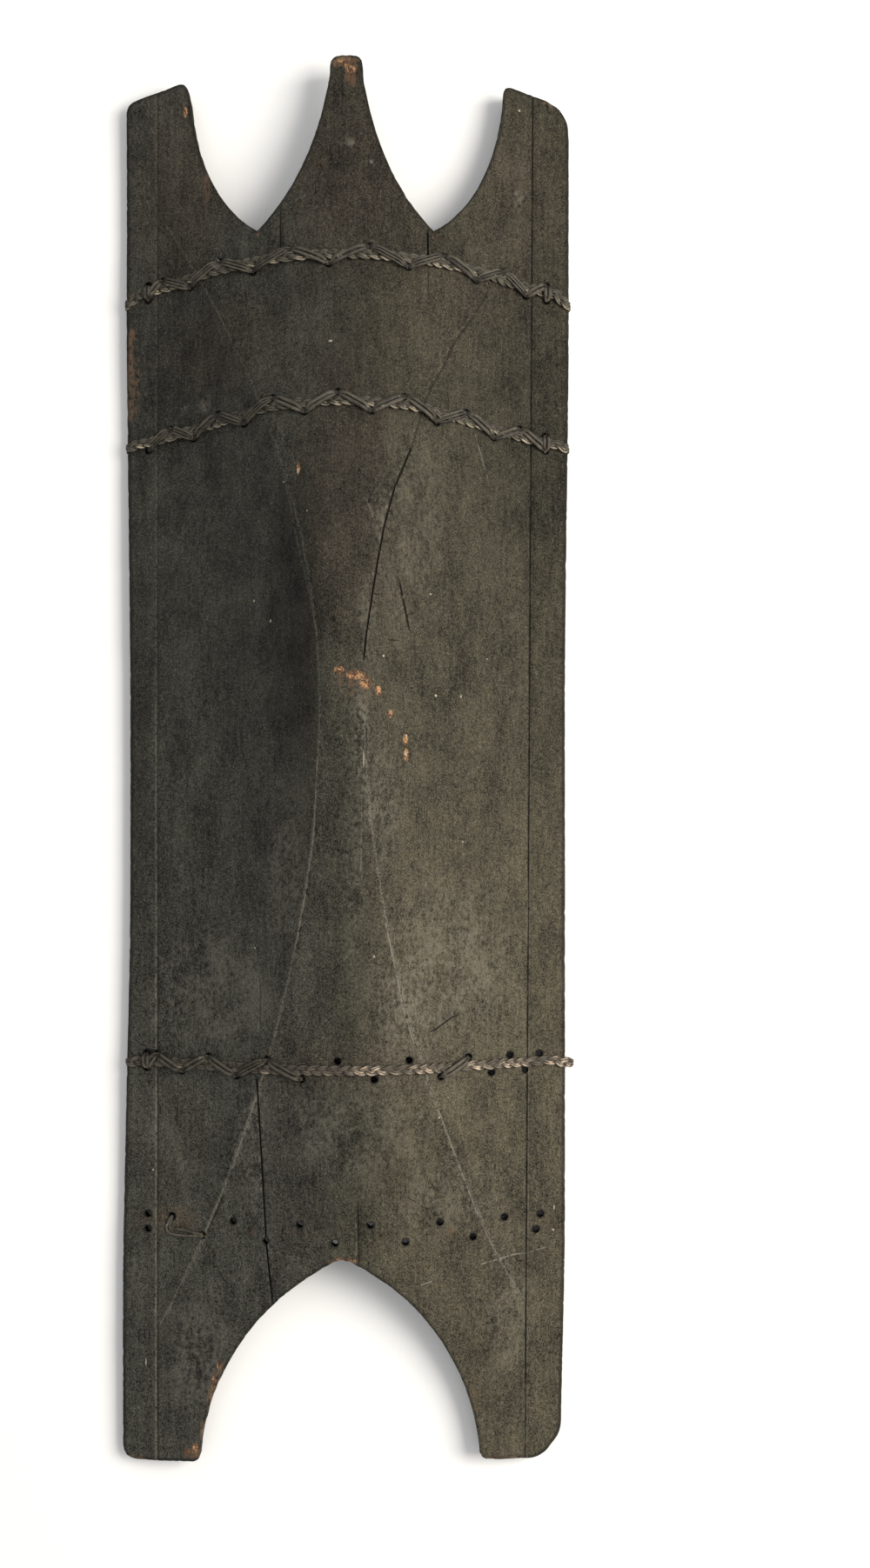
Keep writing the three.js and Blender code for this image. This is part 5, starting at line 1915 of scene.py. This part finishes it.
@dataclass
class Lacing(Lashing):
    """Zigzag lacing: bundles of flat strands from hole to hole over a plait, and on the back."""

    holes: list[tuple[float, float]]
    seed: int
    strands: int = 3
    shades: tuple[float, float] = (0.0, 0.8)
    stitch_width: float = 0.0068
    strand_thickness: float = 0.0013
    over_plait: float = 0.0036
    near_hole: float = 0.0008
    back_drop: float = 0.0011
    step: float = 0.0009

    def stitch(self, start: tuple, end: tuple, offset: float) -> tuple[Array, Array]:
        """Path of one strand: up through a hole, over the plait and down the next hole."""
        a, b = np.array(start), np.array(end)
        t = np.linspace(0, 1, 30)
        flat = a + (b - a) * t[:, None]
        way = unit(b - a)
        aside = np.array([-way[1], way[0]])
        spread = smooth(t / 0.22) * smooth((1 - t) / 0.22)
        flat = flat + aside * (offset * mix(0.30, 1.0, spread))[:, None]
        climb = smooth((t - 0.04) / 0.22) * smooth((0.96 - t) / 0.22)
        x, y = flat.T
        normal = front_normal(x, y)
        height = mix(self.near_hole, self.over_plait, climb)
        over = np.column_stack([flat, FORM.front(x, y)]) + normal * height[:, None]
        wells = []
        for place, column in ((a, flat[0]), (b, flat[-1])):
            top = float(FORM.front(place[0], place[1]))
            low = float(FORM.back(place[0], place[1])) - self.back_drop
            z = np.linspace(low, top, 8)[:, None]
            shaft = mix(place, column, 0.8)
            wells.append(np.concatenate([np.tile(shaft, (8, 1)), z], axis=1))
        path = np.concatenate([wells[0], over, wells[1][::-1]])
        up = np.concatenate([
            np.tile([-way[0], -way[1], 0.15], (8, 1)), normal, np.tile([*way, 0.15], (8, 1))
        ])
        return eased(path, up, self.step)

    def back_stitch(self, start: tuple, end: tuple, offset: float) -> tuple[Array, Array]:
        """Path of one strand across the hollow back, from hole to hole."""
        a, b = np.array(start), np.array(end)
        t = np.linspace(0, 1, 24)
        way = unit(b - a)
        flat = a + (b - a) * t[:, None] + np.array([-way[1], way[0]]) * offset
        x, y = flat.T
        sag = 0.0004 * np.sin(np.pi * t)
        z = FORM.back(x, y) - self.back_drop - sag
        return np.column_stack([flat, z]), np.tile([0.0, 0.0, -1.0], (24, 1))

    def add(self, parts: MeshParts) -> None:
        """Add every stitch between neighbouring holes, on the front and on the back.

        The strands of the front are painted with shade where they go down into the holes.
        """
        rng = np.random.default_rng(self.seed)
        for start, end in zip(self.holes[:-1], self.holes[1:]):
            upright = abs(end[0] - start[0]) < 0.003
            strands = 2 if upright else int(rng.integers(2, self.strands + 1))
            band = self.stitch_width / strands
            middle = (strands - 1) / 2
            nudge = rng.uniform(-0.0003, 0.0003)
            for k in range(strands):
                offset = (k - middle) * band + nudge
                path, up = self.stitch(start, end, offset)
                path = path + up * rng.uniform(-0.00012, 0.00018)
                width = band * rng.uniform(0.76, 0.92)
                shade = rng.uniform(*self.shades)
                gaps = [np.hypot(*(path[:, :2] - np.array(hole)).T) for hole in (start, end)]
                # painted shade: the strands are darkened near the holes
                sunk_shade = 1.0 - smooth((np.minimum(*gaps) - 0.0012) / 0.0030)
                parts.add(*ribbon(path, up, width, self.strand_thickness, shade - 1.6 * sunk_shade))
            for offset in (-0.0007, 0.0007):
                path, up = self.back_stitch(start, end, offset)
                parts.add(*ribbon(path, up, 0.0014, 0.0008, rng.uniform(0, 0.8)))

    def weave(self, parts: MeshParts) -> None:
        """Add the stitches, and broken fibres at the holes."""
        self.add(parts)
        places = np.array(self.holes)
        line = np.column_stack([places, FORM.front(places[:, 0], places[:, 1]) + 0.001])
        fray(parts, line, front_normal(places[:, 0], places[:, 1]), 2 * len(places), self.seed)


@dataclass
class Scrap(Lashing):
    """What is left of a stitch in the bare row: it drops from one hole and crosses to the next."""

    start: tuple[float, float]
    end: tuple[float, float]
    slack: float = 0.0115
    set_back: float = 0.004
    width: float = 0.0023
    thickness: float = 0.0010
    lift: float = 0.0009
    wave: float = 0.0008
    step: float = 0.0009

    def weave(self, parts: MeshParts) -> None:
        """Add its two strands, which part to the left, and broken fibres at the second hole."""
        low = (self.start[0] - self.set_back, self.start[1] - self.slack)
        for k, shade in ((-0.5, 0.9), (0.5, 0.5)):
            aside = k * self.width
            flat = np.array([
                (self.start[0] + 0.3 * aside, self.start[1]), (low[0] + aside, low[1] + 0.002),
                (low[0] + 0.002 + aside, low[1] - 0.0006 + 1.5 * aside),
                (mix(low[0], self.end[0], 0.4), mix(low[1], self.end[1], 0.4) + 2.2 * aside),
                (self.end[0], self.end[1] + 0.6 * aside),
            ])
            x, y = evened(flat, self.step, 5).T
            waves = np.sin(np.linspace(0, 3 * np.pi, len(x))) ** 2
            path = np.column_stack([x, y, FORM.front(x, y) + self.lift + self.wave * waves])
            shafts = []
            for place in (path[0], path[-1]):
                shaft = np.tile(place, (9, 1))
                base = float(FORM.back(place[0], place[1]))
                shaft[:, 2] = np.linspace(base, place[2] - 0.0004, 9)
                shafts.append(shaft)
            path = np.concatenate([shafts[0], path, shafts[1][::-1]])
            up = np.concatenate([
                np.tile([0.0, 1.0, 0.1], (9, 1)), front_normal(x, y),
                np.tile([1.0, 0.0, 0.1], (9, 1)),
            ])
            parts.add(*ribbon(*eased(path, up, self.step), self.width, self.thickness, shade))
        x = np.linspace(self.end[0] - 0.006, self.end[0] + 0.004, 12)
        y = np.full(12, self.end[1])
        line = np.column_stack([x, y, FORM.front(x, y) + 0.0008])
        fray(parts, line, front_normal(x, y), 14, 77)


@dataclass(frozen=True)
class Studio:
    """A plain pale floor and soft light that comes mainly from the right."""

    floor_size: float = 8.0
    floor_height: float = -0.0002
    floor_colour: Colour = (0.86, 0.86, 0.86, 1)
    sky: float = 0.60
    key_power: float = 88.0
    key_colour: tuple[float, float, float] = (1.0, 0.955, 0.87)
    key_size: float = 1.6
    key_place: tuple[float, float, float] = (1.85, 0.20, 1.62)
    fill_power: float = 5.0
    fill_size: float = 2.5
    fill_place: tuple[float, float, float] = (-1.2, 1.6, 2.2)

    def _light(self, name: str, place: tuple, size: float, power: float, colour: tuple) -> None:
        """One square area light that faces the shield."""
        data = bpy.data.lights.new(name, "AREA")
        data.shape = "SQUARE"
        data.size = size
        data.energy = power
        data.color = colour
        light = bpy.data.objects.new(name, data)
        light.location = place
        away = unit(np.array(place))
        turn = float(np.arctan2(away[1], away[0]) + np.pi / 2)
        light.rotation_euler = (float(np.arccos(away[2])), 0.0, turn)
        bpy.context.scene.collection.objects.link(light)

    def build(self) -> None:
        """Make the floor, the sky and the lights."""
        half = self.floor_size / 2
        mesh = bpy.data.meshes.new("floor")
        corners = ((-half, -half), (half, -half), (half, half), (-half, half))
        mesh.from_pydata([(*corner, self.floor_height) for corner in corners], [], [(0, 1, 2, 3)])
        n = Nodes("pale_floor")
        mesh.materials.append(n.finish(self.floor_colour, 0.9, None, 0.2))
        floor = bpy.data.objects.new("floor", mesh)
        bpy.context.scene.collection.objects.link(floor)
        world = bpy.data.worlds.new("studio")
        bpy.context.scene.world = world
        world.use_nodes = True
        background = world.node_tree.nodes["Background"]
        background.inputs["Color"].default_value = (1.0, 1.0, 1.0, 1.0)
        background.inputs["Strength"].default_value = self.sky
        self._light("key", self.key_place, self.key_size, self.key_power, self.key_colour)
        self._light("fill", self.fill_place, self.fill_size, self.fill_power, (1.0, 1.0, 1.0))
        bpy.context.scene.view_settings.view_transform = "Standard"


def main() -> None:
    """Build the shield piece by piece and report each one."""
    logging.basicConfig(level=logging.INFO, format="%(name)s: %(message)s")
    VIEW.camera()
    Studio().build()
    wood = BlackenedWood().material("blackened_wood")
    rattan = SplitRattan().material("rattan")
    worn = SplitRattan(mid=(0.085, 0.070, 0.053, 1), pale=(0.640, 0.500, 0.370, 1))
    worn_rattan = worn.material("worn_rattan")

    lower_holes = FORM.holes(LOWER_ROW)
    laced_holes = lower_holes[: LOWER_STITCH_COUNT + 1]
    lone_holes = lower_holes[LONE_STITCH_INDEX : LONE_STITCH_INDEX + 2]
    bare_holes = FORM.holes(BARE_ROW)
    pieces = [
        CarvedBoard().build(wood),
        Plait(UPPER_ROW, 1).build("plait_upper", "braid_upper", rattan),
        Plait(MIDDLE_ROW, 2).build("plait_middle", "braid_middle", rattan),
        Plait(LOWER_ROW, 3, loose_loop=0.0055, bared=0.95, lower_wear=0.6).build(
            "plait_lower", "braid_lower", worn_rattan, Slot.WORN_RATTAN
        ),
        Lacing(FORM.holes(UPPER_ROW), 4).build("zigzag_upper", "lacing_upper", rattan),
        Lacing(FORM.holes(MIDDLE_ROW), 5).build("zigzag_middle", "lacing_middle", rattan),
        Lacing(laced_holes, 6).build("zigzag_lower", "lacing_lower", rattan),
        Lacing(lone_holes, 9, shades=(0.1, 0.9)).build(
            "lone_stitch", "lacing_lower_stitch", rattan
        ),
        Scrap(bare_holes[SCRAP_INDEX], bare_holes[SCRAP_INDEX + 1]).build(
            "scrap_of_lacing", "lacing_scrap", rattan
        ),
    ]
    for piece in pieces:
        log.info("%s: %d faces", piece.name, len(piece.data.polygons))


if __name__ == "__main__":
    main()
